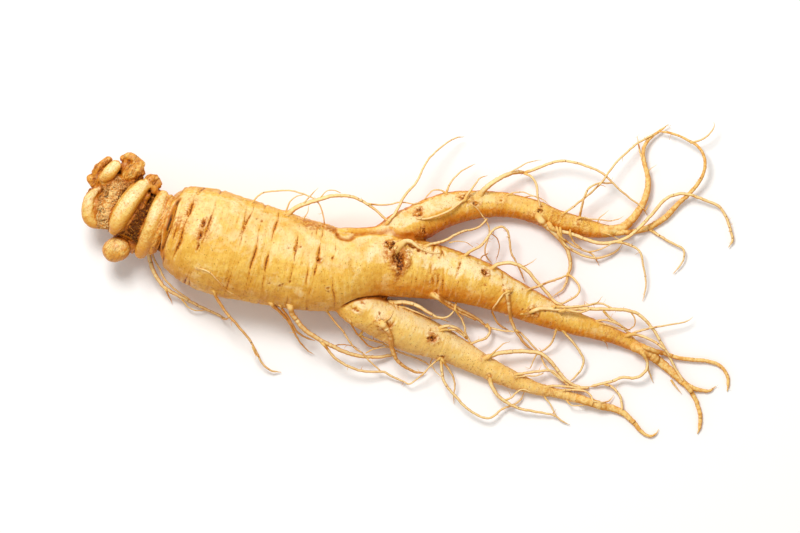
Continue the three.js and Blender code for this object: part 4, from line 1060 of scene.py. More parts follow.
# The crown: buds and folds grown over a fibrous neck. Each is how ripe it is, from fresh at 0 to woody at 1,
# then stations of x, y, z and radius.
crownLobes = {
    "neck": (1.0, [
        (-91.6, 22, 13.5, 4.4), (-86, 20, 13.8, 6.0), (-79, 17.6, 14, 6.6), (-69.5, 14.7, 14.2, 6.8)]),
    "neckBranch": (1.0, [(-85, 24.5, 14, 5.0), (-88, 29, 14.5, 4.2)]),
    "neckBranchSide": (1.0, [(-82.6, 28, 14.5, 4.5), (-82.6, 31, 15, 3.3)]),
    "neckTop": (1.0, [(-78.6, 24.6, 13.5, 3.4), (-76, 24.4, 13.5, 2.9), (-72.6, 22.2, 13.6, 3.0)]),
    "neckSide": (1.0, [(-93.2, 25, 13.2, 2.4), (-91.4, 27.4, 13.8, 2.6)]),
    "neckPith": (1.0, [
        (-91, 17.6, 15.4, 2.3), (-90, 21, 16.9, 2.8), (-88.2, 25, 17.2, 3.0), (-86, 28.4, 17, 2.6)]),
    "longBud": (0.0, [
        (-87.6, 14.9, 18.2, 1.5), (-86.8, 16.4, 19.3, 2.35), (-85.5, 19, 20.3, 2.75),
        (-83.5, 22.2, 20.8, 2.8), (-81.4, 25.2, 20.4, 2.65), (-79.2, 27.8, 19.2, 2.2)]),
    "longBudRib": (0.28, [
        (-88.2, 17.2, 18.6, 0.6), (-87.5, 19.6, 19.7, 0.8), (-86, 22.6, 20.5, 0.85),
        (-84.1, 25.4, 20.5, 0.8), (-82, 27.9, 19.6, 0.7)]),
    "longBudFlank": (0.75, [(-82.2, 17.6, 17.2, 1.0), (-80, 21.4, 18.2, 1.15), (-77.8, 25.2, 18, 1.3)]),
    "longBudKnob": (0.62, [(-77.4, 29, 18.4, 1.7), (-75.9, 30, 17.8, 1.9), (-74.9, 28.6, 17.2, 1.6)]),
    "longBudKnobFold": (0.66, [
        (-78.4, 28, 18.6, 1.5), (-76.4, 28.2, 18.6, 1.3), (-75.4, 26.6, 17.8, 1.2)]),
    "innerFold": (0.1, [
        (-79.7, 8.2, 15.8, 1.9), (-78.6, 10.2, 18.2, 2.2), (-77.2, 13.6, 20.8, 2.3),
        (-75.6, 18, 22.2, 2.3), (-74.2, 22, 21.2, 2.2), (-73, 25, 18.4, 1.85)]),
    "outerFold": (0.34, [
        (-76.8, 8.2, 17.3, 0.8), (-75.7, 10.6, 20, 0.95), (-74.1, 14.2, 22.2, 1.0),
        (-72.4, 18.3, 22.9, 1.0), (-71.2, 22, 21.9, 0.95), (-70.5, 24.7, 19.2, 0.85)]),
    "outerFoldEdge": (0.4, [
        (-75.5, 8.6, 17.2, 0.65), (-74.5, 10.9, 19.8, 0.75), (-72.9, 14.3, 21.9, 0.8),
        (-71.2, 18.3, 22.5, 0.8), (-70.1, 21.8, 21.3, 0.75), (-69.5, 24.3, 18.6, 0.65)]),
    "roundBud": (0.25, [(-87.6, 8.9, 12.8, 3.65), (-86.6, 9.4, 13.4, 3.8)]),
    "crescent": (0.1, [
        (-93, 26.6, 15.8, 1.1), (-94.7, 24.4, 16.4, 1.75), (-95.3, 21.8, 16.4, 2.0),
        (-95.25, 19.4, 15.8, 2.05), (-94.2, 17.6, 14.8, 2.0), (-92.2, 16.9, 13.6, 1.7)]),
    "crescentLip": (0.7, [(-92.6, 22.4, 16.8, 0.8), (-92.8, 20, 16.6, 0.9), (-91.8, 18.2, 15.6, 0.8)]),
    "horn": (0.02, [(-90.3, 30.7, 18.4, 1.7), (-88.9, 32, 19.2, 2.05), (-87.2, 34, 19, 1.85)]),
    "hornLip": (0.5, [(-93.3, 32, 16, 1.15), (-92.3, 33.6, 16.6, 1.25)]),
    "hornLipBack": (0.45, [(-91, 34.6, 16.6, 1.25), (-89.2, 35.8, 16.8, 1.15)]),
    "hornSide": (0.5, [(-94.6, 30.2, 15, 1.4), (-93.7, 28.9, 14.8, 1.5)]),
    "hornBase": (0.72, [(-91.6, 30.8, 14.8, 2.7), (-89, 32.8, 15, 2.7)]),
    "topBud": (0.42, [(-83.2, 31.6, 17.4, 2.3), (-81.8, 32.6, 17.8, 2.5)]),
    "topBudSheath": (0.7, [(-85.2, 33.6, 16.6, 1.4), (-84, 34.4, 17.2, 1.3)]),
    "topBudFold": (0.4, [
        (-84.8, 36.2, 16.6, 1.1), (-83, 36.8, 17.2, 1.3), (-81.2, 36, 17.6, 1.3),
        (-79.4, 34.6, 17, 1.15)]),
    "topBudEdge": (0.6, [(-80, 33.6, 17, 1.2), (-79.2, 32, 16.6, 1.1)]),
    "topBudBack": (0.85, [(-82.9, 34.6, 15.4, 2.2), (-80.8, 33.6, 15.4, 2.1)]),
    "pitNodule": (0.7, [(-89.3, 24.4, 16.5, 0.75), (-89, 24.1, 16.9, 0.8)]),
    "underBudLow": (0.6, [(-84.6, 12.8, 9.6, 3.4), (-82.2, 11.6, 10.4, 3.6)]),
    "underBudLeft": (0.6, [(-89.6, 26.2, 8.8, 3), (-87.6, 24.8, 8.6, 3.4)]),
    "underFold": (0.4, [(-76.6, 11.4, 6.2, 2.2), (-75.6, 16.2, 4.6, 2.3), (-74.4, 21.6, 6.4, 2.1)]),
    "underFoldSide": (0.5, [(-82.4, 17.2, 6.2, 2.2), (-83, 22.2, 6.4, 2.4), (-80.8, 27.6, 9.2, 2.1)]),
}
crown = {
    "sides": 28,
    "voxel": 0.25,
    "pits": [  # x, y, z, size, depth
        (-90, 25.5, 18.6, 1.5, 1.9), (-91.6, 20.4, 18.4, 0.9, 1.0), (-91.2, 17.6, 17, 0.9, 0.9),
        (-84.6, 9.3, 17.5, 0.5, 0.4), (-76.9, 29.9, 20.2, 0.35, 0.5), (-79.6, 24.6, 18.6, 0.7, 0.7),
    ],
    "coarse": 0.22,
    "fine": 0.09,
    "wrinkles": 0.16,
    "folds": 0.34,
    "fibrous": 0.8,
    "shadeReach": 3.2,
}


def roundedCap(curve, end, inner):  # the stations that round off one end of a lobe
    centre, radius = curve[end, :3], curve[end, 3]
    outward = centre - curve[inner, :3]
    outward /= np.linalg.norm(outward)
    stations = []
    for out in np.sin(np.linspace(0.25, 1.0, 5) * math.pi / 2):
        stations.append(np.append(centre + outward * radius * out, radius * math.sqrt(1 - out * out * 0.98)))
    return stations


def makeCrown(material):
    parts, lobes = [], []
    for name, (ripe, stations) in crownLobes.items():
        curve, _ = smoothCurve(stations, 0.5)
        curve = np.vstack([roundedCap(curve, 0, 1)[::-1], curve, roundedCap(curve, -1, -2)])
        parts.append(tube(curve[:, :3], curve[:, 3], crown["sides"]))
        lobes.append((name, ripe, curve))
    points, edges, faces = fused(parts, crown["voxel"])
    points = fairSkin(points, edges, 3)
    points = relaxed(points, edges, 2, 0.4)

    outside = np.full(len(points), 99.0)
    ripeness = np.zeros(len(points))
    around = np.zeros(len(points))
    for number, (name, ripe, curve) in enumerate(lobes):
        apart = np.full(len(points), 99.0)
        place = np.zeros(len(points))
        for index, (x, y, z, r) in enumerate(curve):
            far = np.linalg.norm(points - [x, y, z], axis=1) - r
            closer = far < apart
            apart[closer], place[closer] = far[closer], index * 0.5
        if name.startswith("neck"):
            apart += 0.5
        taken = apart < outside
        outside[taken], ripeness[taken], around[taken] = apart[taken], ripe, place[taken] + number * 9
    ripeness = evened(ripeness, edges, 5)

    normals = vertexNormals(points, faces)
    fibrous = smoothStep(0.75, 1.0, ripeness)
    ridges = np.array([noise.fractal(Vector(p), 0.7, 2.1, 4) for p in points / [1.5, 1.1, 1.4]])
    strands = 0.5 - 1.7 * np.abs(ridges)
    wrinkles = np.array([noise.noise(Vector((a * 1.1, p[1] / 4, p[2] / 4))) for a, p in zip(around, points)])
    rise = crown["coarse"] * roughness(points, 2.4, 5) + crown["fine"] * roughness(points, 0.8, 6, 2)
    rise += crown["wrinkles"] * wrinkles * smoothStep(0.1, 0.6, ripeness)
    across = np.column_stack([points @ [0.85, -0.53, 0], points @ [0.07, 0.11, 0], points[:, 2] * 0.2])
    pleats = np.array([noise.fractal(Vector(p), 0.8, 2.0, 3) for p in across * 0.95])
    fold = np.exp(-((pleats / 0.07) ** 2)) * smoothStep(0.0, 0.5, ripeness) * (ripeness < 0.8)
    rise -= crown["folds"] * fold
    rise = rise * (0.4 + 0.6 * smoothStep(0.3, 0.6, ripeness)) + crown["fibrous"] * strands * fibrous
    scar = np.zeros(len(points))
    for x, y, z, size, depth in crown["pits"]:
        far = np.linalg.norm((points - [x, y, z]) / [size, size, size * 1.6], axis=1)
        hollow = 1 - smoothStep(0.3, 1.2, far)
        rise -= depth * hollow
        scar = np.maximum(scar, hollow)
    points = points + normals * rise[:, None]
    normals = vertexNormals(points, faces)
    tree = BVHTree.FromPolygons(points.tolist(), faces)
    closed = shadeDepth(points, normals, tree, crown["shadeReach"])
    # A band where the fibres are pale, and a gap between two buds that is painted dark as shade.
    leant = points[:, 0] - 0.36 * points[:, 1]
    lightBand = 1.3 * np.exp(-((leant + 96.9) / 3.2) ** 2 - ((points[:, 1] - 21.5) / 8) ** 2)
    gapShade = np.exp(-((leant + 86.3) / 2.2) ** 2 - ((points[:, 1] - 16.5) / 8) ** 4)
    bandAndGapShade = np.minimum(lightBand, 1) - gapShade
    values = {
        "closedIn": closed, "ripe": ripeness, "scar": scar, "sideShade": paintedSideShade(normals, 0.8), "fold": fold,
        "hollow": hollows(points, edges, normals, 7) / 0.1, "bandAndGapShade": bandAndGapShade,
    }
    makePiece("crown", points, faces, material, values)
    return tree, points, faces, ripeness, closed, bandAndGapShade


# Fibres cling to a skin: each starts on it, follows it and stands off it a little. Pairs are least and most.
fibres = {
    "crownCount": 2100,
    "crownHeading": (0.53, 0.85, 0.0),
    "crownSpread": 0.75,
    "crownLength": (1.6, 4.6),
    "crownLift": (0.05, 0.45),
    "crownWidth": (0.07, 0.17),
    "crownHeight": 0.07,
    "curl": 0.9,
    "knotCurl": 2.2,
    "step": 0.24,
    "knots": [  # x, y, reach, how many hairs, how many thick stubs
        (-3.5, 7.6, 2.2, 16, 4), (-5.6, 10.4, 1.3, 7, 3), (4, 14.6, 1.8, 14, 2), (-4.6, -6, 1.6, 12, 2),
        (2.4, 20, 1.1, 4, 2), (6.6, -17.1, 0.8, 3, 2), (36.9, -9, 0.6, 4, 1), (-8.4, -12.7, 1.7, 8, 3),
        (9.6, -23, 0.9, 6, 2), (16.8, 24.6, 1.0, 4, 2), (20, 22.8, 0.8, 3, 1), (-60.9, 16.6, 0.55, 0, 2),
        (-64.9, 19.3, 0.45, 0, 1), (-27, 6, 0.5, 0, 2), (-22, 14.4, 1.0, 3, 2), (-26.6, 16.4, 2.2, 12, 1),
        (24, -29, 0.7, 5, 1), (23.4, -23.2, 0.7, 5, 1), (6.4, 12.4, 2.4, 22, 2), (39.4, 20.6, 1.0, 5, 1),
        (29.4, -3.2, 0.8, 5, 1), (22.5, 2.3, 0.5, 3, 1), (-35.8, 19.6, 0.8, 5, 1), (-77, 6.4, 0.9, 8, 1),
    ],
}


def growFibre(start, tree, heading, length, lift, curl, wanted):
    point, normal, face, _ = tree.find_nearest(start)
    seed = dice.uniform(0, 99)
    heading = heading - normal * heading.dot(normal)
    count = max(4, int(length / fibres["step"]))
    centres, normals = [], []
    for index in range(count + 1):
        if not wanted(point, face):
            break
        centres.append(point + normal * (lift * math.sin(math.pi * 0.8 * index / count)))
        normals.append(normal)
        turn = curl * noise.noise(Vector((index * 0.3, seed, 0)))
        heading = (heading + normal.cross(heading) * turn).normalized()
        point, normal, face, _ = tree.find_nearest(point + heading * fibres["step"])
        heading = (heading - normal * heading.dot(normal)).normalized()
    if len(centres) < 4:
        return None
    centres, normals = np.array(centres), np.array(normals)
    for _ in range(4):
        centres[1:-1] = 0.25 * centres[:-2] + 0.5 * centres[1:-1] + 0.25 * centres[2:]
        normals[1:-1] = 0.25 * normals[:-2] + 0.5 * normals[1:-1] + 0.25 * normals[2:]
    return centres, normals


def fibre(grown, wide, high, sides, tone):
    centres, normals = grown
    taper = 0.3 + 0.7 * np.sin(math.pi * np.linspace(0.12, 0.97, len(centres)))
    angle = np.linspace(0, 2 * math.pi, sides, endpoint=False)
    section = np.hypot(high * np.cos(angle), wide * np.sin(angle))
    verts, faces = tube(centres, taper[:, None] * section, sides, normals)
    return verts, faces, {"pale": np.full(len(verts), tone)}


def makeCrownFibres(material, tree, points, faces, ripeness, closed, bandAndGapShade):
    def wanted(point, face):
        return ripeness[faces[face][0]] > 0.72

    fibrous = [index for index, face in enumerate(faces) if ripeness[face[0]] > 0.86]
    laid = []
    while len(laid) < fibres["crownCount"]:
        corner = faces[dice.choice(fibrous)][0]
        turn = dice.gauss(0, fibres["crownSpread"]) + (math.pi if dice.random() < 0.5 else 0)
        heading = Vector(fibres["crownHeading"])
        heading.rotate(Euler((0, 0, turn)))
        length, lift = dice.uniform(*fibres["crownLength"]), dice.uniform(*fibres["crownLift"])
        grown = growFibre(Vector(points[corner]), tree, heading, length, lift, fibres["curl"], wanted)
        # A fibre is paler in the light band; painted shade makes it darker in the gap between buds and where
        # the skin is closed in.
        tone = dice.uniform(0, 0.6) + 0.15 + 0.75 * bandAndGapShade[corner] - 0.8 * closed[corner]
        if grown:
            tone = max(0.0, min(1.0, tone))
            laid.append(fibre(grown, dice.uniform(*fibres["crownWidth"]), fibres["crownHeight"], 3, tone))
    makeStrands("crown_fibres", laid, material)


def makeKnotHairs(material, tree):
    laid = []
    for x, y, reach, hairs, stubs in fibres["knots"]:
        middle = Vector((x, y, heightBelow(tree, x, y)))

        def wanted(point, face):
            return (point - middle).length < reach * 1.9

        for number in range(hairs + stubs):
            stub = number < stubs
            turn = dice.uniform(-math.pi, math.pi)
            start = middle + Vector((math.cos(turn), math.sin(turn), 0)) * reach * dice.uniform(0, 0.9)
            start.z = heightBelow(tree, start.x, start.y)
            length = dice.uniform(0.9, 1.5) if stub else dice.uniform(0.9, 3)
            lift = dice.uniform(0.1, 0.5) if stub else dice.uniform(0.05, 0.5)
            heading = Vector((math.cos(turn * 3), math.sin(turn * 3), 0))
            grown = growFibre(start, tree, heading, length, lift, fibres["knotCurl"], wanted)
            if grown:
                thick = dice.uniform(0.14, 0.26) if stub else dice.uniform(0.04, 0.085)
                tone = dice.uniform(0.3, 0.75) if stub else dice.uniform(0.1, 0.85)
                laid.append(fibre(grown, thick, thick * 0.8, 6 if stub else 4, tone))
    makeStrands("knot_hairs", laid, material)


# Short side hairs on the rootlets. Pairs are least and most.
sideHairs = {
    "count": 230,
    "length": (0.6, 2.6),
    "climb": (-0.25, 0.45),
    "thickness": (0.06, 0.12),
    "step": 0.26,
    "curl": 0.9,
}


def makeRootletHairs(material):
    laid = []
    samples = np.vstack(laidStrands)
    step = sideHairs["step"]
    for _ in range(sideHairs["count"]):
        x, y, z, radius = samples[dice.randrange(len(samples))]
        heading, climb = dice.uniform(-math.pi, math.pi), dice.uniform(*sideHairs["climb"])
        length = dice.uniform(*sideHairs["length"])
        seed = dice.uniform(0, 99)
        centres = []
        for index in range(max(4, int(length / step))):
            centres.append((x, y, max(z, 0.12)))
            heading += sideHairs["curl"] * noise.noise(Vector((index * 0.3, seed, 0)))
            x, y, z = x + step * math.cos(heading), y + step * math.sin(heading), z + step * climb
        centres = np.array(centres)
        thick = min(dice.uniform(*sideHairs["thickness"]), radius * 0.5)
        verts, faces = tube(centres, thick * np.linspace(1, 0.4, len(centres)), 5)
        laid.append((verts, faces, {"pale": np.full(len(verts), dice.uniform(0.4, 1))}))
    makeStrands("rootlet_hairs", laid, material)


def colour(code):
    parts = [int(code[k:k + 2], 16) / 255 for k in (1, 3, 5)]
    linear = [part / 12.92 if part < 0.04045 else ((part + 0.055) / 1.055) ** 2.4 for part in parts]
    return (*linear, 1.0)


def put(tree, kind, inputs=None, **settings):
    node = tree.nodes.new("ShaderNode" + kind)
    for key, value in settings.items():
        setattr(node, key, value)
    for key, value in (inputs or {}).items():
        if isinstance(value, bpy.types.NodeSocket):
            tree.links.new(value, node.inputs[key])
        else:
            node.inputs[key].default_value = value
    return node


def mixed(tree, factor, first, second, blend="MIX"):
    return put(tree, "Mix", {0: factor, 6: first, 7: second}, data_type="RGBA", blend_type=blend).outputs[2]


def stepped(tree, value, low, high, start=0.0, stop=1.0):
    settings = {0: value, 1: low, 2: high, 3: start, 4: stop}
    return put(tree, "MapRange", settings, interpolation_type="SMOOTHSTEP").outputs[0]


def calc(tree, operation, first, second=0.0):
    return put(tree, "Math", {0: first, 1: second}, operation=operation).outputs[0]


def stored(tree, name, vector=False):
    return put(tree, "Attribute", attribute_name=name).outputs["Vector" if vector else "Fac"]


def grain(tree, place, scale, detail=3.0, rough=0.55):
    settings = {"Vector": place, "Scale": scale, "Detail": detail, "Roughness": rough}
    return put(tree, "TexNoise", settings).outputs["Fac"]


def dots(tree, place, wide, narrow, rarity, crowding):  # scattered spots, some faint and some strong
    cells = put(tree, "TexVoronoi", {"Vector": place, "Scale": 1.0})
    chance = put(tree, "SeparateColor", {0: cells.outputs["Color"]}).outputs
    reach = calc(tree, "DIVIDE", cells.outputs["Distance"], calc(tree, "ADD", chance[1], 0.35))
    strength = stepped(tree, calc(tree, "ADD", chance[0], crowding), rarity, 1.1)
    return calc(tree, "MULTIPLY", stepped(tree, reach, wide, narrow), strength)


def stretched(tree, place, x, y, z):
    return put(tree, "VectorMath", {0: place, 1: (x, y, z)}, operation="MULTIPLY").outputs[0]


def inMillimetres(tree):
    place = put(tree, "TexCoord").outputs["Object"]
    return put(tree, "VectorMath", {0: place, "Scale": 1000.0}, operation="SCALE").outputs[0]


def startMaterial(name):
    material = bpy.data.materials.new(name)
    material.use_nodes = True
    return material, material.node_tree, material.node_tree.nodes["Principled BSDF"]


def finishSkin(tree, shader, base, rough, height, depth, shine, glow=0.1):  # depth of the bump is in metres
    bump = put(tree, "Bump", {"Height": height, "Strength": 0.7, "Distance": depth})
    tree.links.new(base, shader.inputs["Base Color"])
    tree.links.new(rough, shader.inputs["Roughness"])
    tree.links.new(bump.outputs[0], shader.inputs["Normal"])
    shader.inputs["Subsurface Weight"].default_value = glow
    shader.inputs["Subsurface Radius"].default_value = (0.8, 0.46, 0.18)
    shader.inputs["Subsurface Scale"].default_value = 0.0012
    shader.inputs["Specular IOR Level"].default_value = shine


skinTones = {  # trunk and legs, and the crown's skin
    "cream": "#F7D67C",
    "tan": "#E2A83E",
    "warm": "#DD8A12",
    "shade": "#EDAF48",
    "shadeTint": "#FFEFB0",
    "stainAndShade": "#BD6714",
    "crevice": "#7E3B0A",
    "deep": "#2C1207",
    "ring": "#A9591A",
    "ringCore": "#64270B",
    "speck": "#9A601C",
    "bareAndLit": "#FCEBBE",
    "lowerLegLight": "#FFDF94",
    "ochre": "#DCA53C",
}


def colours(codes):
    return {name: colour(code) for name, code in codes.items()}


def rootSkin():
    material, tree, shader = startMaterial("rootSkin")
    tone = colours(skinTones)
    place = inMillimetres(tree)
    flow = stored(tree, "flow", vector=True)
    cloud = stepped(tree, grain(tree, place, 0.075, 3), 0.36, 0.68)
    tanned = calc(tree, "ADD", calc(tree, "MULTIPLY", cloud, 0.5), 0.15)
    base = mixed(tree, tanned, tone["cream"], tone["tan"])
    patches = stepped(tree, grain(tree, place, 0.33, 5, 0.62), 0.45, 0.64)
    base = mixed(tree, calc(tree, "MULTIPLY", patches, 0.65), base, tone["ochre"])
    mottles = stepped(tree, grain(tree, stretched(tree, flow, 1.2, 0.8, 0.8), 1.0, 5, 0.7), 0.42, 0.62)
    base = mixed(tree, calc(tree, "MULTIPLY", mottles, 0.35), base, tone["ochre"])
    blanched = stepped(tree, grain(tree, place, 0.2, 4, 0.6), 0.54, 0.68, 0, 0.55)
    base = mixed(tree, blanched, base, tone["bareAndLit"])
    streak = grain(tree, stretched(tree, flow, 1.3, 0.13, 0.13), 1.0, 4, 0.6)
    streak = put(tree, "Mix", {0: stored(tree, "join"), 2: streak, 3: 0.5}, data_type="FLOAT").outputs[0]
    base = mixed(tree, stepped(tree, streak, 0.52, 0.72, 0, 0.5), base, tone["tan"])
    base = mixed(tree, stepped(tree, streak, 0.5, 0.3, 0, 0.5), base, tone["cream"])

    thin, slender = stored(tree, "thin"), stored(tree, "slender")
    mottled = stepped(tree, grain(tree, place, 0.9, 4, 0.65), 0.42, 0.66)
    mottling = calc(tree, "MULTIPLY", thin, calc(tree, "MULTIPLY", mottled, 0.3))
    # Painted shade: warmer and darker on faces turned down and away from the lamp, and on steep sides.
    sideShade = calc(tree, "ADD", stored(tree, "sideShade"), mottling)
    patchy = stepped(tree, grain(tree, place, 0.5, 6, 0.7), 0.36, 0.62, 0.75, 1)
    sideShadeStrength = calc(tree, "MULTIPLY", stepped(tree, sideShade, 0.0, 0.8), patchy)
    sideShadeStrength = calc(tree, "MULTIPLY", sideShadeStrength, stepped(tree, slender, 0, 1, 0.55, 1))
    # Painted light: paler on faces turned up to the lamp; painted shade: a darker tint on the rest.
    cloudy = stepped(tree, grain(tree, place, 0.28, 4, 0.6), 0.3, 0.6, 0.25, 1)
    paintedTopLight = calc(tree, "MULTIPLY", stepped(tree, stored(tree, "sideShade"), 0.05, 0.0, 0, 0.65), cloudy)
    paintedTopLight = calc(tree, "MULTIPLY", paintedTopLight, stepped(tree, slender, 0, 1, 0.6, 1))
    paintedTopLight = calc(tree, "MULTIPLY", paintedTopLight, stepped(tree, thin, 0.7, 0.1))
    base = mixed(tree, paintedTopLight, base, tone["bareAndLit"])
    base = mixed(tree, calc(tree, "SUBTRACT", 0.5, paintedTopLight), base, tone["shadeTint"], "MULTIPLY")
    base = mixed(tree, sideShadeStrength, base, tone["shade"], "MULTIPLY")
    # Painted light: the lower leg paler towards its far end.
    base = mixed(tree, calc(tree, "MULTIPLY", stored(tree, "lowerLegLight"), 0.33), base, tone["lowerLegLight"])
    # Painted shade: orange-brown streaks on the most shaded sides.
    shadeStreaks = calc(tree, "MULTIPLY", stepped(tree, sideShade, 0.5, 1.1, 0, 0.5), stepped(tree, streak, 0.46, 0.62))
    base = mixed(tree, shadeStreaks, base, tone["stainAndShade"])
    hollow = stored(tree, "hollow")
    base = mixed(tree, stepped(tree, hollow, 0.12, 1.0, 0, 0.7), base, tone["stainAndShade"])
    base = mixed(tree, stepped(tree, hollow, -0.12, -0.9, 0, 0.22), base, tone["bareAndLit"])
    # Orange-brown blush: stain round scars, knots and rootlet bases, and painted shade where limbs meet and
    # at the head end.
    speckled = stepped(tree, grain(tree, place, 1.1, 6, 0.74), 0.4, 0.6, 0.12, 1.1)
    blush = calc(tree, "MULTIPLY", stored(tree, "blush"), speckled)
    base = mixed(tree, stepped(tree, blush, 0.02, 0.5, 0, 0.8), base, tone["stainAndShade"])
    # Painted shade: orange-brown, then dark brown, where the skin is closed in by other parts.
    closed = stored(tree, "closedIn")
    base = mixed(tree, stepped(tree, closed, 0.12, 0.36, 0, 0.75), base, tone["stainAndShade"])
    base = mixed(tree, stepped(tree, closed, 0.28, 0.52, 0, 0.9), base, tone["crevice"])
    base = mixed(tree, stepped(tree, closed, 0.48, 0.75), base, tone["deep"])
    # Painted shade: dark along the creases where one limb presses against another.
    crease = stored(tree, "crease")
    base = mixed(tree, stepped(tree, crease, 0.05, 0.5, 0, 0.85), base, tone["stainAndShade"])
    base = mixed(tree, stepped(tree, crease, 0.45, 0.95, 0, 0.95), base, tone["deep"])

    # Small brown pores and dirt, more of them on the thin skin of the legs.
    crowding = calc(tree, "MULTIPLY", calc(tree, "ADD", thin, stored(tree, "sideShade")), 0.42)
    pore = dots(tree, stretched(tree, flow, 1.2, 0.8, 0.8), 0.2, 0.06, 0.4, crowding)
    base = mixed(tree, calc(tree, "MULTIPLY", pore, 0.95), base, tone["speck"])
    freckle = dots(tree, stretched(tree, flow, 2.1, 1.5, 1.5), 0.3, 0.1, 0.4, crowding)
    base = mixed(tree, calc(tree, "MULTIPLY", freckle, 0.9), base, tone["speck"])
    dirt = stepped(tree, grain(tree, stretched(tree, flow, 2.0, 1.4, 1.4), 1.0, 6, 0.75), 0.53, 0.68, 0, 0.6)
    base = mixed(tree, dirt, base, tone["stainAndShade"])

    # Growth rings: thin and pale brown, but wide, dark and ragged where the skin is torn.
    depth = stored(tree, "ringDepth")
    jag = calc(tree, "SUBTRACT", grain(tree, place, 1.7, 4, 0.7), 0.5)
    jag = calc(tree, "MULTIPLY", jag, calc(tree, "ADD", depth, 0.25))
    gap = calc(tree, "ABSOLUTE", calc(tree, "ADD", stored(tree, "ringGap"), jag))
    reach = calc(tree, "DIVIDE", gap, calc(tree, "ADD", calc(tree, "MULTIPLY", depth, 0.21), 0.09))
    broken = stepped(tree, grain(tree, place, 1.9, 3), 0.36, 0.58, 0.15, 1)
    torn = stepped(tree, depth, 0.3, 0.75)
    flakes = stepped(tree, grain(tree, place, 2.6, 3), 0.4, 0.56, 0.1, 1)
    seen = stepped(tree, depth, 0.02, 0.3, 0, 0.85)
    seen = calc(tree, "MULTIPLY", seen, calc(tree, "MAXIMUM", broken, torn))
    halo = calc(tree, "MULTIPLY", stepped(tree, reach, 3.6, 0.8), calc(tree, "MULTIPLY", depth, 0.75))
    base = mixed(tree, halo, base, tone["warm"])
    base = mixed(tree, calc(tree, "MULTIPLY", stepped(tree, reach, 1.3, 0.5), seen), base, tone["ring"])
    heart = calc(tree, "MULTIPLY", stepped(tree, reach, 0.9, 0.3), calc(tree, "MULTIPLY", torn, flakes))
    base = mixed(tree, heart, base, tone["ringCore"])
    pick = stepped(tree, grain(tree, place, 3.1, 2), 0.6, 0.68)
    chip = calc(tree, "MULTIPLY", stepped(tree, reach, 2.2, 1.0), calc(tree, "MULTIPLY", torn, pick))
    base = mixed(tree, calc(tree, "MULTIPLY", chip, 0.5), base, tone["cream"])
    scarred = stepped(tree, grain(tree, place, 2.1, 5, 0.7), 0.36, 0.62, 0.25, 1.25)
    scarred = calc(tree, "MULTIPLY", stored(tree, "scar"), scarred)
    base = mixed(tree, stepped(tree, scarred, 0.08, 0.5, 0, 0.85), base, tone["ring"])
    base = mixed(tree, stepped(tree, scarred, 0.4, 0.85, 0, 0.92), base, tone["deep"])

    height = calc(tree, "MULTIPLY", calc(tree, "ADD", streak, grain(tree, place, 1.9, 4)), 0.6)
    height = calc(tree, "SUBTRACT", height, calc(tree, "MULTIPLY", calc(tree, "ADD", pore, freckle), 0.3))
    rough = stepped(tree, grain(tree, place, 0.35, 4), 0.35, 0.65, 0.3, 0.56)
    finishSkin(tree, shader, base, rough, height, 0.0003, 0.1)
    return material


crownTones = {
    "golden": "#DA8C20",
    "rust": "#A85C1C",
    "lilac": "#B5805E",
    "fibreDark": "#74380F",
    "fibreMid": "#BC6E28",
    "pithDark": "#D08430",
    "pithLight": "#FFDC94",
    "gap": "#42200C",
    "closed": "#522309",
    "closedDeep": "#2A1206",
    "fold": "#7A3A12",
    "pit": "#3C210B",
}


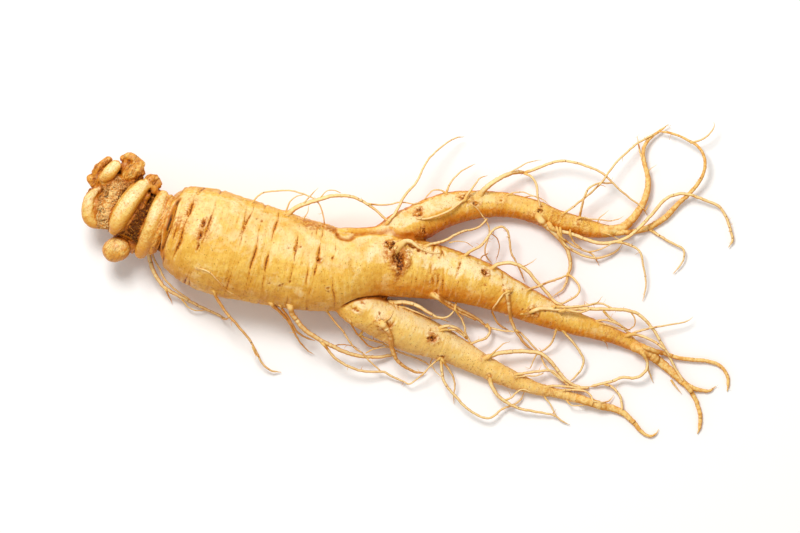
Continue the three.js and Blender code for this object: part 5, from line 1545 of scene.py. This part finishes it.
def crownSkin():
    material, tree, shader = startMaterial("crownSkin")
    tone = {**colours(skinTones), **colours(crownTones)}
    place = inMillimetres(tree)
    ripe = stored(tree, "ripe")
    cloud = stepped(tree, grain(tree, place, 0.25, 4), 0.35, 0.7)
    base = mixed(tree, calc(tree, "MULTIPLY", cloud, 0.6), tone["cream"], tone["tan"])
    spotted = stepped(tree, grain(tree, place, 0.6, 5, 0.65), 0.35, 0.7, -0.25, 0.35)
    reddened = calc(tree, "ADD", ripe, spotted)
    base = mixed(tree, stepped(tree, reddened, 0.1, 0.5, 0, 0.9), base, tone["golden"])
    base = mixed(tree, stepped(tree, reddened, 0.5, 0.9, 0, 0.9), base, tone["rust"])
    lilac = stepped(tree, grain(tree, place, 0.45, 3), 0.52, 0.64)
    lilac = calc(tree, "MULTIPLY", lilac, stepped(tree, ripe, 0.2, 0.6, 0, 0.6))
    base = mixed(tree, calc(tree, "MULTIPLY", lilac, 0.7), base, tone["lilac"])
    threads = grain(tree, stretched(tree, place, 0.7, 1.1, 0.9), 1.0, 5, 0.7)
    fibrous = stepped(tree, ripe, 0.76, 0.92)
    bandAndGapShade = stored(tree, "bandAndGapShade")  # above nought in the light band of pale fibres, below it in the gap between buds, where shade is painted
    dark = mixed(tree, bandAndGapShade, tone["fibreDark"], tone["pithDark"])
    light = mixed(tree, bandAndGapShade, tone["fibreMid"], tone["pithLight"])
    woody = mixed(tree, stepped(tree, threads, 0.4, 0.58), dark, light)
    # Painted shade: near-black fibrous skin in the gap between buds.
    woody = mixed(tree, stepped(tree, bandAndGapShade, -0.1, -0.8, 0, 0.85), woody, tone["gap"])
    base = mixed(tree, fibrous, base, woody)
    skinned = calc(tree, "SUBTRACT", 1.0, fibrous)
    # Painted light: fresh buds paler on faces turned up to the lamp; painted shade: warmer on faces turned
    # away from it.
    unripe = calc(tree, "MULTIPLY", stepped(tree, ripe, 0.4, 0.05, 0.1, 1), skinned)
    paintedTopLight = calc(tree, "MULTIPLY", stepped(tree, stored(tree, "sideShade"), 0.2, 0.0, 0, 0.5), unripe)
    base = mixed(tree, paintedTopLight, base, tone["bareAndLit"])
    sideShade = calc(tree, "MULTIPLY", stepped(tree, stored(tree, "sideShade"), 0.05, 0.8, 0, 0.85), skinned)
    base = mixed(tree, sideShade, base, tone["warm"])
    # Painted shade: darker at the edges of buds and where lobes close in on the skin, less so in the light
    # band.
    closed = calc(tree, "SUBTRACT", stored(tree, "closedIn"), stepped(tree, bandAndGapShade, 0.1, 0.5, 0, 0.3))
    edge = calc(tree, "MULTIPLY", stepped(tree, closed, 0.05, 0.28, 0, 0.95), skinned)
    base = mixed(tree, edge, base, tone["stainAndShade"])
    base = mixed(tree, stepped(tree, closed, 0.3, 0.52, 0, 0.92), base, tone["closed"])
    base = mixed(tree, stepped(tree, closed, 0.46, 0.74), base, tone["closedDeep"])
    base = mixed(tree, calc(tree, "MULTIPLY", stored(tree, "fold"), 0.9), base, tone["fold"])
    hollow = stored(tree, "hollow")
    stained = calc(tree, "MULTIPLY", stepped(tree, hollow, 0.15, 0.9, 0, 0.75), skinned)
    base = mixed(tree, stained, base, tone["stainAndShade"])
    crevice = stepped(tree, hollow, 0.6, 1.8, 0, 0.75)
    crevice = calc(tree, "SUBTRACT", crevice, stepped(tree, bandAndGapShade, 0.1, 0.5, 0, 0.6))
    base = mixed(tree, crevice, base, tone["crevice"])
    ridge = calc(tree, "MULTIPLY", stepped(tree, hollow, -0.2, -1.2, 0, 0.35), unripe)
    base = mixed(tree, ridge, base, tone["bareAndLit"])
    base = mixed(tree, stepped(tree, stored(tree, "scar"), 0.2, 0.9, 0, 0.9), base, tone["pit"])
    turned = {0: place, 2: (0, 0, math.radians(58)), 3: (4.5, 0.55, 1.2)}  # along the buds and folds
    lengthwise = put(tree, "Mapping", turned, vector_type="TEXTURE").outputs[0]
    wrinkle = calc(tree, "ABSOLUTE", calc(tree, "SUBTRACT", grain(tree, lengthwise, 1.0, 4, 0.65), 0.5))
    where = calc(tree, "MULTIPLY", skinned, stepped(tree, grain(tree, place, 0.55, 3), 0.42, 0.62))
    wrinkle = calc(tree, "MULTIPLY", stepped(tree, wrinkle, 0.03, 0.0), where)
    base = mixed(tree, calc(tree, "MULTIPLY", wrinkle, 0.4), base, tone["stainAndShade"])
    bent = put(tree, "TexNoise", {"Vector": place, "Scale": 2.2, "Detail": 3.0}).outputs["Color"]
    bent = put(tree, "VectorMath", {0: place, 1: bent}, operation="ADD").outputs[0]
    flecks = dots(tree, stretched(tree, bent, 1.7, 1.7, 1.7), 0.26, 0.08, 0.36, 0.1)
    onSkin = calc(tree, "SUBTRACT", 0.95, calc(tree, "MULTIPLY", fibrous, 0.75))
    base = mixed(tree, calc(tree, "MULTIPLY", flecks, onSkin), base, tone["speck"])
    fine = stepped(tree, grain(tree, place, 1.6, 4, 0.7), 0.5, 0.66, 0, 0.75)
    base = mixed(tree, fine, base, tone["warm"])
    height = calc(tree, "MULTIPLY", grain(tree, place, 1.7, 5), 0.8)
    height = calc(tree, "ADD", height, calc(tree, "MULTIPLY", threads, fibrous))
    height = calc(tree, "SUBTRACT", height, calc(tree, "MULTIPLY", wrinkle, 0.35))
    gloss = stepped(tree, grain(tree, place, 0.7, 3), 0.3, 0.7, 0.2, 0.36)
    rough = calc(tree, "ADD", gloss, calc(tree, "MULTIPLY", fibrous, 0.5))
    rough = calc(tree, "ADD", rough, calc(tree, "MULTIPLY", ripe, 0.15))
    finishSkin(tree, shader, base, rough, height, 0.00014, 0.28)
    return material


strandTones = {
    "rootletSkin": {"light": "#FDE7A8", "dark": "#D98A20", "node": "#8A4A14", "base": "#EAB558"},
    "tipSkin": {"light": "#F8D68A", "dark": "#D98C24", "node": "#8A4C16", "base": "#EAB558"},
}


def strandSkin(name, patchy):
    material, tree, shader = startMaterial(name)
    tone = colours(strandTones[name])
    place = inMillimetres(tree)
    pale = stored(tree, "pale")
    mottled = stepped(tree, grain(tree, place, 0.8, 4), 0.35, 0.68)
    share = calc(tree, "ADD", calc(tree, "MULTIPLY", pale, 0.16), calc(tree, "MULTIPLY", mottled, 0.18))
    base = mixed(tree, share, tone["light"], tone["dark"])
    # Painted shade: darker and more orange on the sides turned away from the key lamp.
    facing = {0: put(tree, "NewGeometry").outputs["Normal"], 1: (-0.22, 0.34, 0.91)}
    keyFacing = put(tree, "VectorMath", facing, operation="DOT_PRODUCT").outputs["Value"]
    base = mixed(tree, stepped(tree, keyFacing, 0.82, 0.25, 0, 0.92), base, tone["dark"])
    thin = stepped(tree, stored(tree, "thick"), 0.9, 0.2, 0, 0.15)
    base = mixed(tree, thin, base, tone["dark"])
    collar = stepped(tree, stored(tree, "along"), 2.6, 0.5, 0, 0.75)
    base = mixed(tree, collar, base, tone["base"])
    patches = stepped(tree, grain(tree, place, 0.8, 5, 0.7), 0.42, 0.62, 0, patchy)
    base = mixed(tree, patches, base, tone["dark"])
    blanched = stepped(tree, grain(tree, place, 0.5, 3), 0.55, 0.7, 0, patchy)
    base = mixed(tree, blanched, base, tone["light"])
    mark = stepped(tree, stored(tree, "mark"), 0.25, 0.7, 0, 0.85)
    base = mixed(tree, mark, base, tone["node"])
    pore = dots(tree, stretched(tree, place, 2.5, 2.5, 2.5), 0.3, 0.1, 0.45, 0.1)
    base = mixed(tree, calc(tree, "MULTIPLY", pore, 0.8), base, tone["node"])
    height = calc(tree, "SUBTRACT", grain(tree, place, 2.6, 4), calc(tree, "MULTIPLY", mark, 0.4))
    rough = stepped(tree, grain(tree, place, 1.4, 3), 0.3, 0.7, 0.4, 0.58)
    finishSkin(tree, shader, base, rough, height, 0.00014, 0.12, 0.12)
    return material


hairTones = {
    "dark": "#7E3F12",
    "mid": "#DE9038",
    "light": "#FFDF98",
}


def hairSkin():
    material, tree, shader = startMaterial("hairSkin")
    tone = colours(hairTones)
    place = inMillimetres(tree)
    share = calc(tree, "ADD", stored(tree, "pale"), calc(tree, "MULTIPLY", grain(tree, place, 1.2, 3), 0.3))
    base = mixed(tree, stepped(tree, share, 0.2, 0.6), tone["dark"], tone["mid"])
    base = mixed(tree, stepped(tree, share, 0.65, 1.3), base, tone["light"])
    rough = stepped(tree, grain(tree, place, 1.4, 3), 0.3, 0.7, 0.45, 0.65)
    finishSkin(tree, shader, base, rough, grain(tree, place, 3.0, 2), 0.00005, 0.05)
    return material


skinTree = makeCore(rootSkin())
makeLegTips(skinTree, strandSkin("tipSkin", 0.6))
rootletMaterial = strandSkin("rootletSkin", 0.0)
makeRootlets("rootlets_of_trunk", trunkRootlets, skinTree, rootletMaterial, 100)
makeRootlets("rootlets_of_upper_leg", upperLegRootlets, skinTree, rootletMaterial, 200)
makeRootlets("rootlets_of_middle_leg", middleLegRootlets, skinTree, rootletMaterial, 300)
makeRootlets("rootlets_of_lower_leg", lowerLegRootlets, skinTree, rootletMaterial, 400)
hairMaterial = hairSkin()
makeCrownFibres(hairMaterial, *makeCrown(crownSkin()))
makeKnotHairs(hairMaterial, skinTree)
makeRootletHairs(hairMaterial)

studio = {  # in metres, but the sensor in millimetres
    "floor": "#FAF9F7",
    "floorWidth": 6.0,
    "keyPower": 6.3,
    "keyPlace": (-0.2, 0.4, 0.82),
    "keySize": 0.28,
    "world": 0.56,
    "worldColour": (1.0, 0.985, 0.96, 1),
    "cameraHeight": 2.4,
    "sensorWidth": 36,
    "viewWidth": 0.24,
    "viewMiddle": (-0.0024, 0.00405),
}


def makeFloor():
    mesh = bpy.data.meshes.new("floor")
    half = studio["floorWidth"] / 2
    corners = [(-half, -half, 0), (half, -half, 0), (half, half, 0), (-half, half, 0)]
    mesh.from_pydata(corners, [], [(0, 1, 2, 3)])
    floor = bpy.data.objects.new("floor", mesh)
    bpy.context.collection.objects.link(floor)
    material, _, shader = startMaterial("paleFloor")
    shader.inputs["Base Color"].default_value = colour(studio["floor"])
    shader.inputs["Roughness"].default_value = 0.9
    shader.inputs["Specular IOR Level"].default_value = 0.1
    mesh.materials.append(material)


def makeLight():
    lamp = bpy.data.lights.new("key", "AREA")
    lamp.energy = studio["keyPower"]
    lamp.size = studio["keySize"]
    key = bpy.data.objects.new("key", lamp)
    key.location = studio["keyPlace"]
    key.rotation_euler = (Vector((0, 0, 0)) - key.location).to_track_quat("-Z", "Y").to_euler()
    bpy.context.collection.objects.link(key)
    world = bpy.data.worlds.new("studio")
    world.use_nodes = True
    background = world.node_tree.nodes["Background"]
    background.inputs["Color"].default_value = studio["worldColour"]
    background.inputs["Strength"].default_value = studio["world"]
    bpy.context.scene.world = world


def makeCamera():
    lens = bpy.data.cameras.new("camera")
    lens.sensor_width = studio["sensorWidth"]
    lens.lens = studio["sensorWidth"] * studio["cameraHeight"] / studio["viewWidth"]
    camera = bpy.data.objects.new("camera", lens)
    camera.location = (*studio["viewMiddle"], studio["cameraHeight"])
    bpy.context.collection.objects.link(camera)
    bpy.context.scene.camera = camera
    bpy.context.scene.view_settings.view_transform = "Standard"


makeFloor()
makeLight()
makeCamera()
print("floor, light and camera are set")
